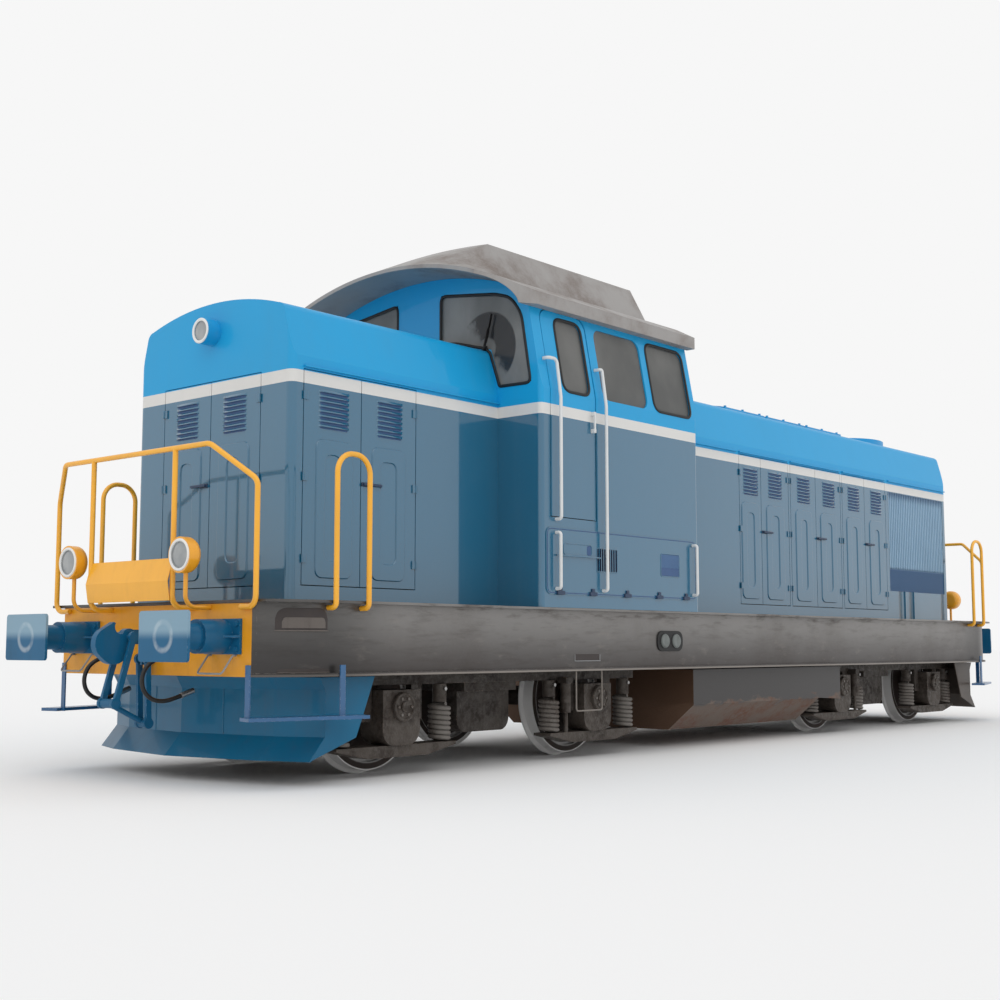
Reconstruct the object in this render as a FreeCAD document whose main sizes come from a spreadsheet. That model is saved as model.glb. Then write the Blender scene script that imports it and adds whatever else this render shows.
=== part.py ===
import FreeCAD, Part
import math
import os

# Diesel shunting locomotive: two bogies, an off-centre cab and a hood on each side of it
# X runs along the length with the short hood at -X, Y is across, Z is up, millimetres
# The origin is on the floor, under the middle, and the wheels stand on their flanges

# Driving dimensions, one spreadsheet cell each
SIZES = {
    "pivot_spacing": 7200, "wheel_base": 2500, "wheel_radius": 500, "flange_height": 30,
    "back_to_back": 1360, "rim_width": 135, "flange_width": 32, "rim_depth": 62,
    "disc_thickness": 40, "hub_radius": 150, "hub_length": 170, "axle_radius": 90,
    "journal_radius": 65, "journal_end": 1140, "journal_play": 0.3,
    "buffer_projection": 520, "buffer_height": 1062, "buffer_spread": 875,
    "buffer_head_width": 560, "buffer_head_height": 350, "buffer_head_corner": 28,
    "buffer_head_thickness": 20, "buffer_plunger_radius": 95, "buffer_sleeve_radius": 120,
    "buffer_sleeve_length": 230, "buffer_base_half": 200, "buffer_base_height": 250,
    "buffer_base_thickness": 20, "gusset_thickness": 14,
    "deck_top": 1320, "deck_plate": 20, "deck_lip": 10, "deck_end_half_in": 105,
    "deck_half": 1450, "taper_length": 580,
    "sill_bottom": 780, "sill_web": 16, "sill_inset": 58, "sill_flange": 25,
    "sill_flange_width": 130, "headstock_face": 6330, "headstock_thickness": 25,
    "headstock_half_in": 270,
    "beam_spread": 420, "beam_width": 160, "beam_bottom": 1090, "bolster_half_length": 250,
    "bolster_bottom": 1060, "cross_beam_width": 140, "pivot_radius": 170, "pivot_pin_bottom": 800,
    "pivot_play": 1,
    "hood_half": 965, "hood_wall": 40, "hood_lean_height": 3170, "hood_shoulder_half": 868,
    "hood_shoulder_rise": 365, "hood_bend_half": 852, "hood_bend_rise": 392,
    "hood_eave_half": 800, "hood_eave_rise": 418, "hood_crown_rise": 535, "hood_corner": 60,
    "short_hood_front": 5823, "long_hood_end": 5885,
    "door_sill": 1448, "door_head_drop": 102, "door_gap": 7, "door_thickness": 36,
    "hinge_offset": 10, "hinge_length": 64,
    "front_door_half": 605, "side_door_start": 5700, "side_door_split": 5110,
    "side_door_end": 4505,
    "bay_one_start": 500, "bay_one_split": 953, "bay_one_end": 1557,
    "bay_two_start": 1612, "bay_two_split": 2198, "bay_two_end": 2812,
    "bay_three_start": 2868, "bay_three_split": 3447, "bay_three_end": 4027,
    "gutter_drop": 82, "gutter_depth": 26, "gutter_thickness": 12,
    "grille_start": 4112, "grille_end": 5765, "grille_bottom": 1690, "grille_top_drop": 215,
    "grille_band": 285, "grille_depth": 30, "grille_frame": 14, "grille_pitch": 52,
    "fin_width": 16, "conduit_one": 4530, "conduit_two": 4790, "conduit_radius": 14,
    "cab_front": 3485, "cab_rear": 1073, "cab_half_out": 2, "cab_wall": 40,
    "cab_lean_height": 3190, "cab_top_rise": 760, "cab_top_half_in": 142,
    "cab_corner": 45, "cab_floor_top": 2030, "cab_floor_thickness": 40,
    "roof_front": 3950, "roof_front_half_in": 352, "roof_corner_x": 3480, "roof_half_in": 42,
    "roof_rear": 1030, "roof_crown_rise": 1178, "roof_eave_rise": 725,
    "roof_edge_top_rise": 840, "roof_bend_half_in": 252, "roof_bend_top_rise": 952,
    "hatch_front_x": 3300, "hatch_rear_x": 1095, "hatch_foot_half_in": 567, "hatch_foot_rise": 1050,
    "hatch_top_half_in": 772, "hatch_top_edge_rise": 1430, "hatch_top_crown_rise": 1465,
    "pane_thickness": 8, "pane_inset": 16,
    "window_sill_rise": 5, "window_head_rise": 670, "cab_door_front": 3356, "cab_door_rear": 2726,
    "cab_door_sill": 2095, "cab_door_head_rise": 725, "cab_door_play": 14, "cab_door_corner": 110,
    "door_window_front": 3172, "door_window_rear": 2790,
    "mid_window_front": 2600, "mid_window_rear": 1892,
    "rear_window_front": 1790, "rear_window_rear": 1166, "window_corner": 100,
    "end_window_inner": 275, "end_window_top_rise": 980,
    "lower_panel_front": 3428, "lower_panel_rear": 1137, "lower_panel_bottom": 1432,
    "lower_panel_top": 2000, "lower_panel_thickness": 8, "lower_panel_corner": 60,
    "rail_radius": 20, "rail_bend": 90, "rail_front_stand": 195, "rail_front_half_in": 530,
    "rail_top": 2420, "rail_post_stand": 31, "rail_post_half_in": 195, "rail_shoulder": 2150,
    "rail_mid_half": 520, "rail_foot": 1268, "rail_panel_top": 1625, "rail_panel_bottom": 1320,
    "rail_panel_crease": 1460, "rail_panel_bulge": 45, "rail_panel_sheet": 5,
    "lamp_stand": 280, "lamp_spread": 710, "lamp_height": 1636, "lamp_radius": 129,
    "lamp_depth": 120, "lamp_ring_radius": 106, "lamp_lens_radius": 90, "lamp_lens_depth": 14,
    "lamp_stem_radius": 16,
    "headlamp_rise": 296, "headlamp_reach": 120, "headlamp_radius": 105,
    "headlamp_lens_radius": 80,
    "hoop_front_back": 515, "hoop_rear_back": 835, "hoop_half_out": 25, "hoop_top": 2380,
    "hoop_foot": 1268,
    "step_top": 505, "step_thickness": 25, "step_stand": 110, "step_run": 775,
    "step_start_half_in": 150, "step_out": 110, "step_width": 160,
    "hanger_width": 48, "hanger_thickness": 12, "hanger_top": 862,
    "hanger_front_half_in": 295, "hanger_side_back": 608,
    "stirrup_front": 2990, "stirrup_rear": 2625, "stirrup_bottom": 440,
    "plough_top": 772, "plough_bottom": 178, "plough_knee": 680, "plough_toe": 345,
    "plough_half_in": 160, "plough_sheet": 12, "plough_back": 290, "plough_flare": 145,
    "plough_edge_back": 300, "plough_shoulder_half_in": 550, "plough_shoulder_back": 150,
    "plough_lip": 55, "plough_wing_back": 1078, "plough_wing_low_back": 895,
    "plough_wing_step": 455,
    "hook_height": 1062, "hook_thickness": 60,
    "hose_half": 360, "hose_height": 915, "hose_radius": 16, "cock_length": 60,
    "tank_front": 970, "tank_rear": 2050, "tank_half_in": 150, "tank_top": 765,
    "tank_bevel_height": 425, "tank_bottom": 175, "tank_bottom_half_in": 450,
    "tank_strap": 45,
    "spring_offset": 550, "spring_half": 1050, "spring_radius": 95,
    "spring_bottom": 238, "spring_top": 550, "guide_radius": 58,
    "seat_thickness": 22,
    "box_inner": 930, "box_outer": 1175,
    "bogie_half_length": 1950, "side_frame_inner": 985, "side_frame_outer": 1065,
    "side_frame_bottom": 695, "side_frame_top": 960, "transom_half": 330,
    "transom_bottom": 620, "transom_top": 950, "headbeam_width": 90,
    "headbeam_bottom": 700, "headbeam_top": 900,
    "engine_front": 100, "engine_rear": 3300, "engine_half": 560, "engine_top_drop": 270,
    "transmission_front": 3150, "transmission_rear": 1350, "transmission_half": 560,
    "transmission_top": 1900,
    "desk_front": 2500, "desk_rear": 1950, "desk_half": 420, "desk_top": 2950,
    "seat_x": 1560, "seat_half": 900, "seat_size": 440, "seat_height": 2520,
    "seat_back_top": 3080, "seat_cushion": 90,
    "lid_half": 600, "lid_thickness": 34, "lug_height": 24, "lug_width": 22,
    "fan_x": 4655, "fan_radius": 600, "fan_height": 15,
    "cab_rail_radius": 15, "cab_rail_reach": 60, "overrun": 60,
    "no_wall": 0, "sill_taper_length": 530, "sill_lip": 5,
    "cross_beam_x": 1750,
    "hose_head_length": 110, "plough_wing_toe": 330,
    "hoop_bend": 170, "tank_back": 1550, "tank_skirt": 50,
    "tank_skirt_low": 400, "hinge_strap": 42, "gutter_break": 18,
    "cab_bend_half_in": 220, "cab_bend_top_rise": 882, "cab_shoulder_half_in": 352,
    "cab_shoulder_top_rise": 950, "cab_crown_rise": 1145,
    "end_window_low_rise": 555, "end_window_arch_half_in": 552, "end_window_arch_rise": 895,
    "end_window_bend_half_in": 322, "end_window_bend_rise": 800, "end_window_outer_top_in": 217,
    "end_window_shoulder_rise": 660, "end_window_outer_in": 107, "end_window_sill_rise": 60,
    "end_window_step_low_out": 20, "end_window_step_out": 7, "end_window_notch_rise": 400,
    "roof_nose_side_rise": 975, "hatch_nose_in": 5,
    "rail_hook_height_rise": 265, "door_rail_front": 3290, "door_rail_front_hook": 3398,
    "door_rail_foot": 2070, "door_rail_rear": 2640, "door_rail_rear_hook": 2670,
    "door_rail_rear_foot": 1478, "rail_lean_drop": 70, "cab_rail_bend": 40,
    "panel_rail_front": 3300, "panel_rail_rear": 1200, "panel_rail_top": 1955,
    "lid_one_start": 830, "lid_one_end": 1685, "lid_two_start": 1755, "lid_two_end": 2630,
    "lid_three_start": 2705, "lid_three_end": 3590, "hub_inset": 15, "journal_gap": 5,
    "seat_gap": 0.3, "rail_foot_half_in": 370, "cab_hinge_offset": 7,
    "cab_hinge_head_rise": 630, "cab_hinge_head_half_in": 166, "cab_hinge_length": 70,
    "gusset_length": 190, "hook_length": 495, "hook_depth": 200, "hook_pin_reach": 210,
    "coupling_half": 95, "coupling_boss": 62, "link_pin": 22, "link_sheet": 26, "link_eye": 40,
    "link_waist": 44, "coupling_nut_reach": 350, "coupling_nut_height": 580,
    "coupling_trunnion": 34, "coupling_end_reach": 45, "coupling_end_height": 428,
    "coupling_bow_reach": 62, "coupling_bow_height": 900, "bow_half": 66, "screw_radius": 20,
    "hose_loosest_bend": 2000, "stirrup_back": 22, "grab_radius": 7, "grab_bend": 24,
    "grip_half": 140, "grip_top": 930, "grip_bottom": 803, "grip_reach": 125, "grip_start": 30,
    "box_half_length": 200, "box_rise": 130, "box_round": 120, "box_cover_radius": 112,
    "box_cover_depth": 34, "beam_flat_half": 320, "beam_depth": 90, "damper_offset": 400,
    "damper_half": 1122, "damper_radius": 45, "damper_rod_radius": 18, "damper_bottom": 410,
    "damper_top": 665, "bracket_depth": 55, "casting_half": 330, "casting_round": 110,
    "casting_bottom": 280, "casting_inner": 620, "casting_outer": 900, "horn_offset": 215,
    "horn_width": 115, "horn_sheet": 62, "horn_bottom": 420,
}

doc = FreeCAD.newDocument("diesel_locomotive")
sheet = doc.addObject("Spreadsheet::Sheet", "sizes")
for row, (alias, number) in enumerate(SIZES.items(), start=1):
    sheet.set("A%d" % row, alias)
    sheet.set("B%d" % row, str(number))
    sheet.setAlias("B%d" % row, alias)
doc.recompute()

V = FreeCAD.Vector


class Size:
    """A length that carries its number and its spreadsheet expression together."""

    def __init__(self, number, text):
        self.number = float(number)
        self.text = text

    def join(self, other, sign, number):
        text = other.text if isinstance(other, Size) else repr(other)
        return Size(number, "(%s %s %s)" % (self.text, sign, text))

    def __add__(self, other):
        return self.join(other, "+", self.number + num(other))

    def __sub__(self, other):
        return self.join(other, "-", self.number - num(other))

    def __mul__(self, other):
        return self.join(other, "*", self.number * num(other))

    def __truediv__(self, other):
        return self.join(other, "/", self.number / num(other))

    def __neg__(self):
        return Size(-self.number, "(0 - %s)" % self.text)

    def __rmul__(self, other):
        return self * other

    def __radd__(self, other):
        return self + other


class Sheet:
    """Gives each alias of the spreadsheet as a Size."""

    def __getattr__(self, alias):
        return Size(sheet.get(alias), "sizes." + alias)


def num(size):
    return size.number if isinstance(size, Size) else float(size)


S = Sheet()
NODES = []
AHEAD = FreeCAD.Rotation(V(0, 1, 0), 90)
ACROSS = FreeCAD.Rotation(V(1, 0, 0), -90)
UPRIGHT = FreeCAD.Rotation()
# Sketch planes: the sketch's own x and y run along these, and it is extruded along the third
PLANES = {
    "x": FreeCAD.Rotation(0.5, 0.5, 0.5, 0.5),
    "y": FreeCAD.Rotation(V(1, 0, 0), 90),
    "z": FreeCAD.Rotation(),
}


def bind(obj, prop, size):
    setattr(obj, prop, num(size))
    if isinstance(size, Size):
        obj.setExpression(prop, size.text)


def place(obj, x, y, z, rotation=UPRIGHT):
    obj.Placement = FreeCAD.Placement(V(num(x), num(y), num(z)), rotation)
    for axis, size in zip("xyz", (x, y, z)):
        if isinstance(size, Size):
            obj.setExpression("Placement.Base." + axis, size.text)


def node(label, obj):
    obj.Label = label
    NODES.append(obj)
    return obj


def box(name, x, y, z):
    obj = doc.addObject("Part::Box", name)
    bind(obj, "Length", x[1] - x[0])
    bind(obj, "Width", y[1] - y[0])
    bind(obj, "Height", z[1] - z[0])
    place(obj, x[0], y[0], z[0])
    return obj


def cylinder(name, centre, turn, radius, length):
    obj = doc.addObject("Part::Cylinder", name)
    bind(obj, "Radius", radius)
    bind(obj, "Height", length)
    place(obj, centre[0], centre[1], centre[2], turn)
    return obj


def outline(name, points):
    """A closed sketch: each point is (x, y), or (x, y, "via") for the middle of an arc."""
    sketch = doc.addObject("Sketcher::SketchObject", name)
    plain = [(V(num(p[0]), num(p[1]), 0), len(p) > 2) for p in points]
    start = plain[0][0]
    via = None
    for spot, is_via in plain[1:] + [plain[0]]:
        if is_via:
            via = spot
            continue
        if via is None:
            sketch.addGeometry(Part.LineSegment(start, spot), False)
        else:
            sketch.addGeometry(Part.Arc(start, via, spot), False)
        via = None
        start = spot
    return sketch


def extrude(name, plane, points, low, high):
    """A prism along X, Y or Z. The outline is in YZ, XZ or XY."""
    sketch = outline(name + "_outline", points)
    base = {"x": (low, 0, 0), "y": (0, high, 0), "z": (0, 0, low)}[plane]
    place(sketch, base[0], base[1], base[2], PLANES[plane])
    obj = doc.addObject("Part::Extrusion", name)
    obj.Base = sketch
    obj.DirMode = "Normal"
    obj.Solid = True
    bind(obj, "LengthFwd", high - low)
    return obj


def cut(name, base, *tools):
    obj = doc.addObject("Part::Cut", name)
    obj.Base = base
    obj.Tool = tools[0] if len(tools) == 1 else group(name + "_tools", tools)
    return obj


def common(name, base, tool):
    obj = doc.addObject("Part::Common", name)
    obj.Base = base
    obj.Tool = tool
    return obj


def fuse(name, parts):
    obj = doc.addObject("Part::MultiFuse", name)
    obj.Shapes = parts
    obj.Refine = True
    return obj


def group(name, parts):
    obj = doc.addObject("Part::Compound", name)
    obj.Links = list(parts)
    return obj


def mirror(name, source, normal):
    obj = doc.addObject("Part::Mirroring", name)
    obj.Source = source
    obj.Normal = normal
    return obj


def both_sides(name, source):
    return [source, mirror(name + "_far", source, V(0, 1, 0))]


def both_ends(name, source):
    return [source, mirror(name + "_rear", source, V(1, 0, 0))]


def rounded(x, y, corner):
    """A rectangle with round corners, in a sketch's own x and y."""
    lean = corner * (1 - math.sqrt(0.5))
    x0, x1 = x
    y0, y1 = y
    return [
        (x0 + corner, y0), (x1 - corner, y0), (x1 - lean, y0 + lean, "via"), (x1, y0 + corner),
        (x1, y1 - corner), (x1 - lean, y1 - lean, "via"), (x1 - corner, y1),
        (x0 + corner, y1), (x0 + lean, y1 - lean, "via"), (x0, y1 - corner),
        (x0, y0 + corner), (x0 + lean, y0 + lean, "via"),
    ]


def bent_path(points, bend):
    """A wire of straight runs joined by tangent arcs of one radius, or less at a short run."""
    spots = [V(num(p[0]), num(p[1]), num(p[2])) for p in points]
    edges = []
    start = spots[0]
    for before, corner, after in zip(spots, spots[1:], spots[2:]):
        arrive = (corner - before).normalize()
        leave = (after - corner).normalize()
        turn = arrive.getAngle(leave)
        room = 0.45 * min((corner - before).Length, (after - corner).Length)
        reach = min(num(bend) * math.tan(turn / 2), room)
        radius = reach / math.tan(turn / 2)
        first = corner - arrive * reach
        last = corner + leave * reach
        middle = corner + (leave - arrive).normalize() * (radius / math.cos(turn / 2) - radius)
        edges.append(Part.LineSegment(start, first).toShape())
        edges.append(Part.Arc(first, middle, last).toShape())
        start = last
    edges.append(Part.LineSegment(start, spots[-1]).toShape())
    return Part.Wire(edges)


def tube(name, points, radius, bend):
    """A round bar bent along a path: the path is a wire and the bar is swept along it."""
    wire = bent_path(points, bend)
    path = doc.addObject("Part::Feature", name + "_path")
    path.Shape = wire
    ring = doc.addObject("Part::Circle", name + "_ring")
    bind(ring, "Radius", radius)
    first = wire.Edges[0]
    heading = first.tangentAt(first.FirstParameter)
    ring.Placement = FreeCAD.Placement(first.Vertexes[0].Point, FreeCAD.Rotation(V(0, 0, 1), heading))
    obj = doc.addObject("Part::Sweep", name)
    obj.Sections = [ring]
    obj.Spine = (path, ["Edge%d" % (i + 1) for i in range(len(wire.Edges))])
    obj.Solid = True
    obj.Frenet = False
    return obj


def frame_plan(end, end_half, taper, half):
    """A plan outline with each corner swept in by an arc that is tangent to the side."""
    run = num(end - taper)
    rise = num(half - end_half)
    radius = (run ** 2 + rise ** 2) / (2 * rise)
    turn = math.asin(run / radius) / 2
    middle_x = taper + radius * math.sin(turn)
    middle_half = half - radius * (1 - math.cos(turn))
    return [
        (taper, half), (middle_x, middle_half, "via"), (end, end_half),
        (end, -end_half), (middle_x, -middle_half, "via"), (taper, -half),
        (-taper, -half), (-middle_x, -middle_half, "via"), (-end, -end_half),
        (-end, end_half), (-middle_x, middle_half, "via"), (-taper, half),
    ]


# Places and heights that follow a driving size
deck_end_half = S.deck_half - S.deck_end_half_in
headstock_half = S.deck_half - S.headstock_half_in
plough_half = S.deck_half - S.plough_half_in
plough_shoulder_half = S.deck_half - S.plough_shoulder_half_in
step_start_half = S.deck_half - S.step_start_half_in
hanger_front_half = S.deck_half - S.hanger_front_half_in
rail_post_half = S.deck_half - S.rail_post_half_in
rail_front_half = S.deck_half - S.rail_front_half_in
rail_foot_half = S.deck_half - S.rail_foot_half_in
hoop_half = S.deck_half + S.hoop_half_out
tank_half = S.deck_half - S.tank_half_in
tank_bottom_half = S.deck_half - S.tank_bottom_half_in
cab_half = S.deck_half + S.cab_half_out
cab_top_half = cab_half - S.cab_top_half_in
cab_bend_half = cab_half - S.cab_bend_half_in
cab_shoulder_half = cab_half - S.cab_shoulder_half_in
roof_half = cab_half - S.roof_half_in
roof_front_half = cab_half - S.roof_front_half_in
roof_bend_half = cab_half - S.roof_bend_half_in
hatch_foot_half = cab_half - S.hatch_foot_half_in
hatch_top_half = cab_half - S.hatch_top_half_in
end_window_arch_half = cab_half - S.end_window_arch_half_in
end_window_bend_half = cab_half - S.end_window_bend_half_in
end_window_outer_top = cab_half - S.end_window_outer_top_in
end_window_outer = cab_half - S.end_window_outer_in
cab_hinge_head_half = cab_half - S.cab_hinge_head_half_in
end_window_step_low = S.hood_half + S.end_window_step_low_out
end_window_step = S.hood_shoulder_half + S.end_window_step_out
buffer_reach = S.headstock_face + S.buffer_projection
deck_end = S.headstock_face + S.deck_lip
taper_start = S.headstock_face - S.taper_length
sill_taper = S.headstock_face - S.sill_taper_length
rail_post_x = S.headstock_face + S.rail_post_stand
rail_front_x = S.headstock_face + S.rail_front_stand
lamp_x = S.headstock_face + S.lamp_stand
step_start = S.headstock_face + S.step_stand
step_end = S.headstock_face - S.step_run
hanger_side_x = S.headstock_face - S.hanger_side_back
plough_nose = S.headstock_face - S.plough_back
plough_wing_rear = S.headstock_face - S.plough_wing_back
plough_wing_low = S.headstock_face - S.plough_wing_low_back
hoop_front = S.headstock_face - S.hoop_front_back
hoop_rear = S.headstock_face - S.hoop_rear_back
step_end_half = S.deck_half + S.step_out
hood_shoulder_height = S.hood_lean_height + S.hood_shoulder_rise
hood_bend_height = S.hood_lean_height + S.hood_bend_rise
hood_eave_height = S.hood_lean_height + S.hood_eave_rise
hood_crown = S.hood_lean_height + S.hood_crown_rise
door_head = S.hood_lean_height - S.door_head_drop
gutter_height = S.hood_lean_height - S.gutter_drop
grille_top = S.hood_lean_height - S.grille_top_drop
headlamp_height = S.hood_lean_height + S.headlamp_rise
engine_top = S.hood_lean_height - S.engine_top_drop
cab_top = S.cab_lean_height + S.cab_top_rise
cab_bend_top = S.cab_lean_height + S.cab_bend_top_rise
cab_shoulder_top = S.cab_lean_height + S.cab_shoulder_top_rise
cab_crown = S.cab_lean_height + S.cab_crown_rise
window_sill = S.cab_lean_height + S.window_sill_rise
window_head = S.cab_lean_height + S.window_head_rise
cab_door_head = S.cab_lean_height + S.cab_door_head_rise
cab_hinge_head = S.cab_lean_height + S.cab_hinge_head_rise
end_window_low = S.cab_lean_height + S.end_window_low_rise
end_window_top = S.cab_lean_height + S.end_window_top_rise
end_window_arch = S.cab_lean_height + S.end_window_arch_rise
end_window_bend = S.cab_lean_height + S.end_window_bend_rise
end_window_shoulder = S.cab_lean_height + S.end_window_shoulder_rise
end_window_sill = S.cab_lean_height + S.end_window_sill_rise
end_window_notch = S.cab_lean_height + S.end_window_notch_rise
roof_crown = S.cab_lean_height + S.roof_crown_rise
roof_eave = S.cab_lean_height + S.roof_eave_rise
roof_edge_top = S.cab_lean_height + S.roof_edge_top_rise
roof_bend_top = S.cab_lean_height + S.roof_bend_top_rise
hatch_foot = S.cab_lean_height + S.hatch_foot_rise
hatch_top_edge = S.cab_lean_height + S.hatch_top_edge_rise
hatch_top_crown = S.cab_lean_height + S.hatch_top_crown_rise
roof_nose_side = S.cab_lean_height + S.roof_nose_side_rise
rail_hook_height = S.cab_lean_height + S.rail_hook_height_rise
rail_lean_height = S.cab_lean_height - S.rail_lean_drop
pivot_x = S.pivot_spacing / 2
half_base = S.wheel_base / 2
axle_height = S.wheel_radius + S.flange_height
deck_under = S.deck_top - S.deck_plate
sill_half = S.deck_half - S.sill_inset


def side_strips(name, plan, width, low, high):
    """The two long strips that lie inside a plan outline's sides."""
    end, end_half, taper, half = plan
    outer = extrude(name + "_outer", "z", frame_plan(end, end_half, taper, half), low, high)
    inner = extrude(name + "_inner", "z", frame_plan(end, end_half - width, taper, half - width), low, high)
    return outer, cut(name, outer, inner)


def make_underframe():
    """A deck on two channel sills, two inner beams, and the cross members: solids that meet face to face."""
    deck = extrude("deck", "z", frame_plan(deck_end, deck_end_half, taper_start, S.deck_half),
                   deck_under, S.deck_top)
    back = S.headstock_face - S.headstock_thickness
    low = S.sill_bottom + S.sill_flange
    across = (-S.deck_half, S.deck_half)
    web_block, webs = side_strips("sill_web_strip",
                                  (S.headstock_face, headstock_half, sill_taper, sill_half),
                                  S.sill_web, low, deck_under)
    flange_block, flanges = side_strips("sill_flange_strip",
                                        (S.headstock_face, headstock_half, taper_start,
                                         S.deck_half - S.sill_lip),
                                        S.sill_flange_width, S.sill_bottom, low)
    between = box("between_headstocks", (-back, back), across, (S.sill_bottom, deck_under))
    headstock = fuse("headstock", [
        common("headstock_plate", web_block,
               box("headstock_band", (back, S.headstock_face), across, (low, deck_under))),
        common("headstock_foot", flange_block,
               box("headstock_foot_band", (back, S.headstock_face), across, (S.sill_bottom, low))),
    ])
    inside = sill_half - S.sill_web
    bolster = box("bolster", (pivot_x - S.bolster_half_length, pivot_x + S.bolster_half_length),
                  (-inside, inside), (S.bolster_bottom, deck_under))
    crossing = box("cross_beam", (S.cross_beam_x, S.cross_beam_x + S.cross_beam_width),
                   (-inside, inside), (S.beam_bottom, deck_under))
    pin = cylinder("pivot_pin", (pivot_x, 0, S.pivot_pin_bottom), UPRIGHT, S.pivot_radius,
                   S.bolster_bottom - S.pivot_pin_bottom)
    members = both_ends("bolster", bolster) + both_ends("cross_beam", crossing)
    beam = cut("inner_beam", box("inner_beam_bar", (-back, back),
                                 (S.beam_spread - S.beam_width / 2, S.beam_spread + S.beam_width / 2),
                                 (S.beam_bottom, deck_under)), *members)
    parts = [deck, common("sill_webs", webs, between), common("sill_flanges", flanges, between)]
    parts += both_sides("inner_beam", beam) + members
    parts += both_ends("headstock", headstock) + both_ends("pivot_pin", pin)
    return node("underframe", group("underframe", parts))


def make_buffers():
    face = S.headstock_face
    base_face = face + S.buffer_base_thickness
    head_back = buffer_reach - S.buffer_head_thickness
    sleeve_end = base_face + S.buffer_sleeve_length
    low = S.buffer_height - S.buffer_base_height / 2
    high = S.buffer_height + S.buffer_base_height / 2
    head = extrude("buffer_head", "x", rounded(
        (S.buffer_spread - S.buffer_head_width / 2, S.buffer_spread + S.buffer_head_width / 2),
        (S.buffer_height - S.buffer_head_height / 2, S.buffer_height + S.buffer_head_height / 2),
        S.buffer_head_corner), head_back, buffer_reach)
    plunger = cylinder("buffer_plunger", (face, S.buffer_spread, S.buffer_height),
                       AHEAD, S.buffer_plunger_radius, head_back - face)
    sleeve = cylinder("buffer_sleeve", (face, S.buffer_spread, S.buffer_height),
                      AHEAD, S.buffer_sleeve_radius, sleeve_end - face)
    base = box("buffer_base", (face, base_face),
               (S.buffer_spread - S.buffer_base_half, S.buffer_spread + S.buffer_base_half), (low, high))
    half_sheet = S.gusset_thickness / 2
    rib_end = base_face + S.gusset_length
    upright_rib = extrude("buffer_rib_upright", "y", [
        (base_face, low), (rib_end, S.buffer_height), (base_face, high),
    ], S.buffer_spread - half_sheet, S.buffer_spread + half_sheet)
    level_rib = extrude("buffer_rib_level", "z", [
        (base_face, S.buffer_spread - S.buffer_base_half), (rib_end, S.buffer_spread),
        (base_face, S.buffer_spread + S.buffer_base_half),
    ], S.buffer_height - half_sheet, S.buffer_height + half_sheet)
    one = fuse("buffer", [head, plunger, sleeve, base, upright_rib, level_rib])
    pair = group("buffer_pair", both_sides("buffer", one))
    return node("buffers", group("buffers", both_ends("buffer_pair", pair)))


# The draw hook seen from the side: shares of its length out from the headstock, and of its depth up
HOOK_SHARES = [
    (0, -0.27), (0.34, -0.27), (0.46, -0.72), (0.66, -1.0, "via"), (0.87, -0.78), (1.0, -0.28, "via"),
    (0.91, 0.22), (0.69, 0.54), (0.66, 0.5), (0.62, 0.14, "via"), (0.55, 0.12), (0.4, 0.27), (0, 0.27),
]


def link(name, foot, head, eye, waist, y):
    """A forged bar with a round eye at each end, lying in a plane across Y. Foot and head are (x, z)."""
    run_x = num(head[0] - foot[0])
    run_z = num(head[1] - foot[1])
    span = math.hypot(run_x, run_z)
    out_x = waist * (run_z / span / 2)
    out_z = waist * (run_x / span / 2)
    bar = extrude(name + "_bar", "y", [
        (foot[0] - out_x, foot[1] + out_z), (foot[0] + out_x, foot[1] - out_z),
        (head[0] + out_x, head[1] - out_z), (head[0] - out_x, head[1] + out_z),
    ], y[0], y[1])
    eyes = [cylinder("%s_eye_%d" % (name, number), (spot[0], y[0], spot[1]), ACROSS, eye, y[1] - y[0])
            for number, spot in enumerate((foot, head), start=1)]
    return [bar] + eyes


def make_draw_gear():
    """The hook and its screw coupling: links down to the screw, and the loose bow hung up out of the way."""
    face = S.headstock_face
    hook = extrude("draw_hook", "y", [
        (face + S.hook_length * p[0], S.hook_height + S.hook_depth * p[1]) + tuple(p[2:]) for p in HOOK_SHARES
    ], -S.hook_thickness / 2, S.hook_thickness / 2)
    pin = (face + S.hook_pin_reach, S.hook_height)
    nut = (face + S.coupling_nut_reach, S.coupling_nut_height)
    end = (face + S.coupling_end_reach, S.coupling_end_height)
    bow = (face + S.coupling_bow_reach, S.coupling_bow_height)
    half = S.coupling_half
    parts = [hook]
    for name, spot, radius, reach in (
            ("coupling_boss", pin, S.coupling_boss, S.hook_thickness / 2),
            ("coupling_pin", pin, S.link_pin, half),
            ("coupling_nut", nut, S.coupling_trunnion, half),
            ("coupling_end_nut", end, S.coupling_trunnion, S.bow_half),
            ("bow_bar", bow, S.link_pin, S.bow_half)):
        parts.append(cylinder(name, (spot[0], -reach, spot[1]), ACROSS, radius, reach * 2))
    for side in (-1, 1):
        outer = sorted((half * side, (half - S.link_sheet) * side), key=num)
        inner = sorted((S.bow_half * side, (S.bow_half - S.link_sheet) * side), key=num)
        parts += link("coupling_link_%d" % (side + 1), nut, pin, S.link_eye, S.link_waist, outer)
        parts += link("bow_arm_%d" % (side + 1), end, bow, S.link_eye, S.link_waist, inner)
    screw_run = V(num(end[0] - nut[0]), 0, num(end[1] - nut[1]))
    screw = cylinder("coupling_screw", (nut[0], 0, nut[1]), FreeCAD.Rotation(V(0, 0, 1), screw_run),
                     S.screw_radius, S.no_wall + screw_run.Length)
    hanger = box("bow_hanger", (face, bow[0] + S.link_pin), (-S.link_pin / 2, S.link_pin / 2),
                 (bow[1] - S.link_pin * 2, bow[1] - S.link_pin / 2))
    whole = fuse("draw_coupling", parts + [screw, hanger])
    return node("draw_gear", group("draw_gear", both_ends("draw_coupling", whole)))


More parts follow.
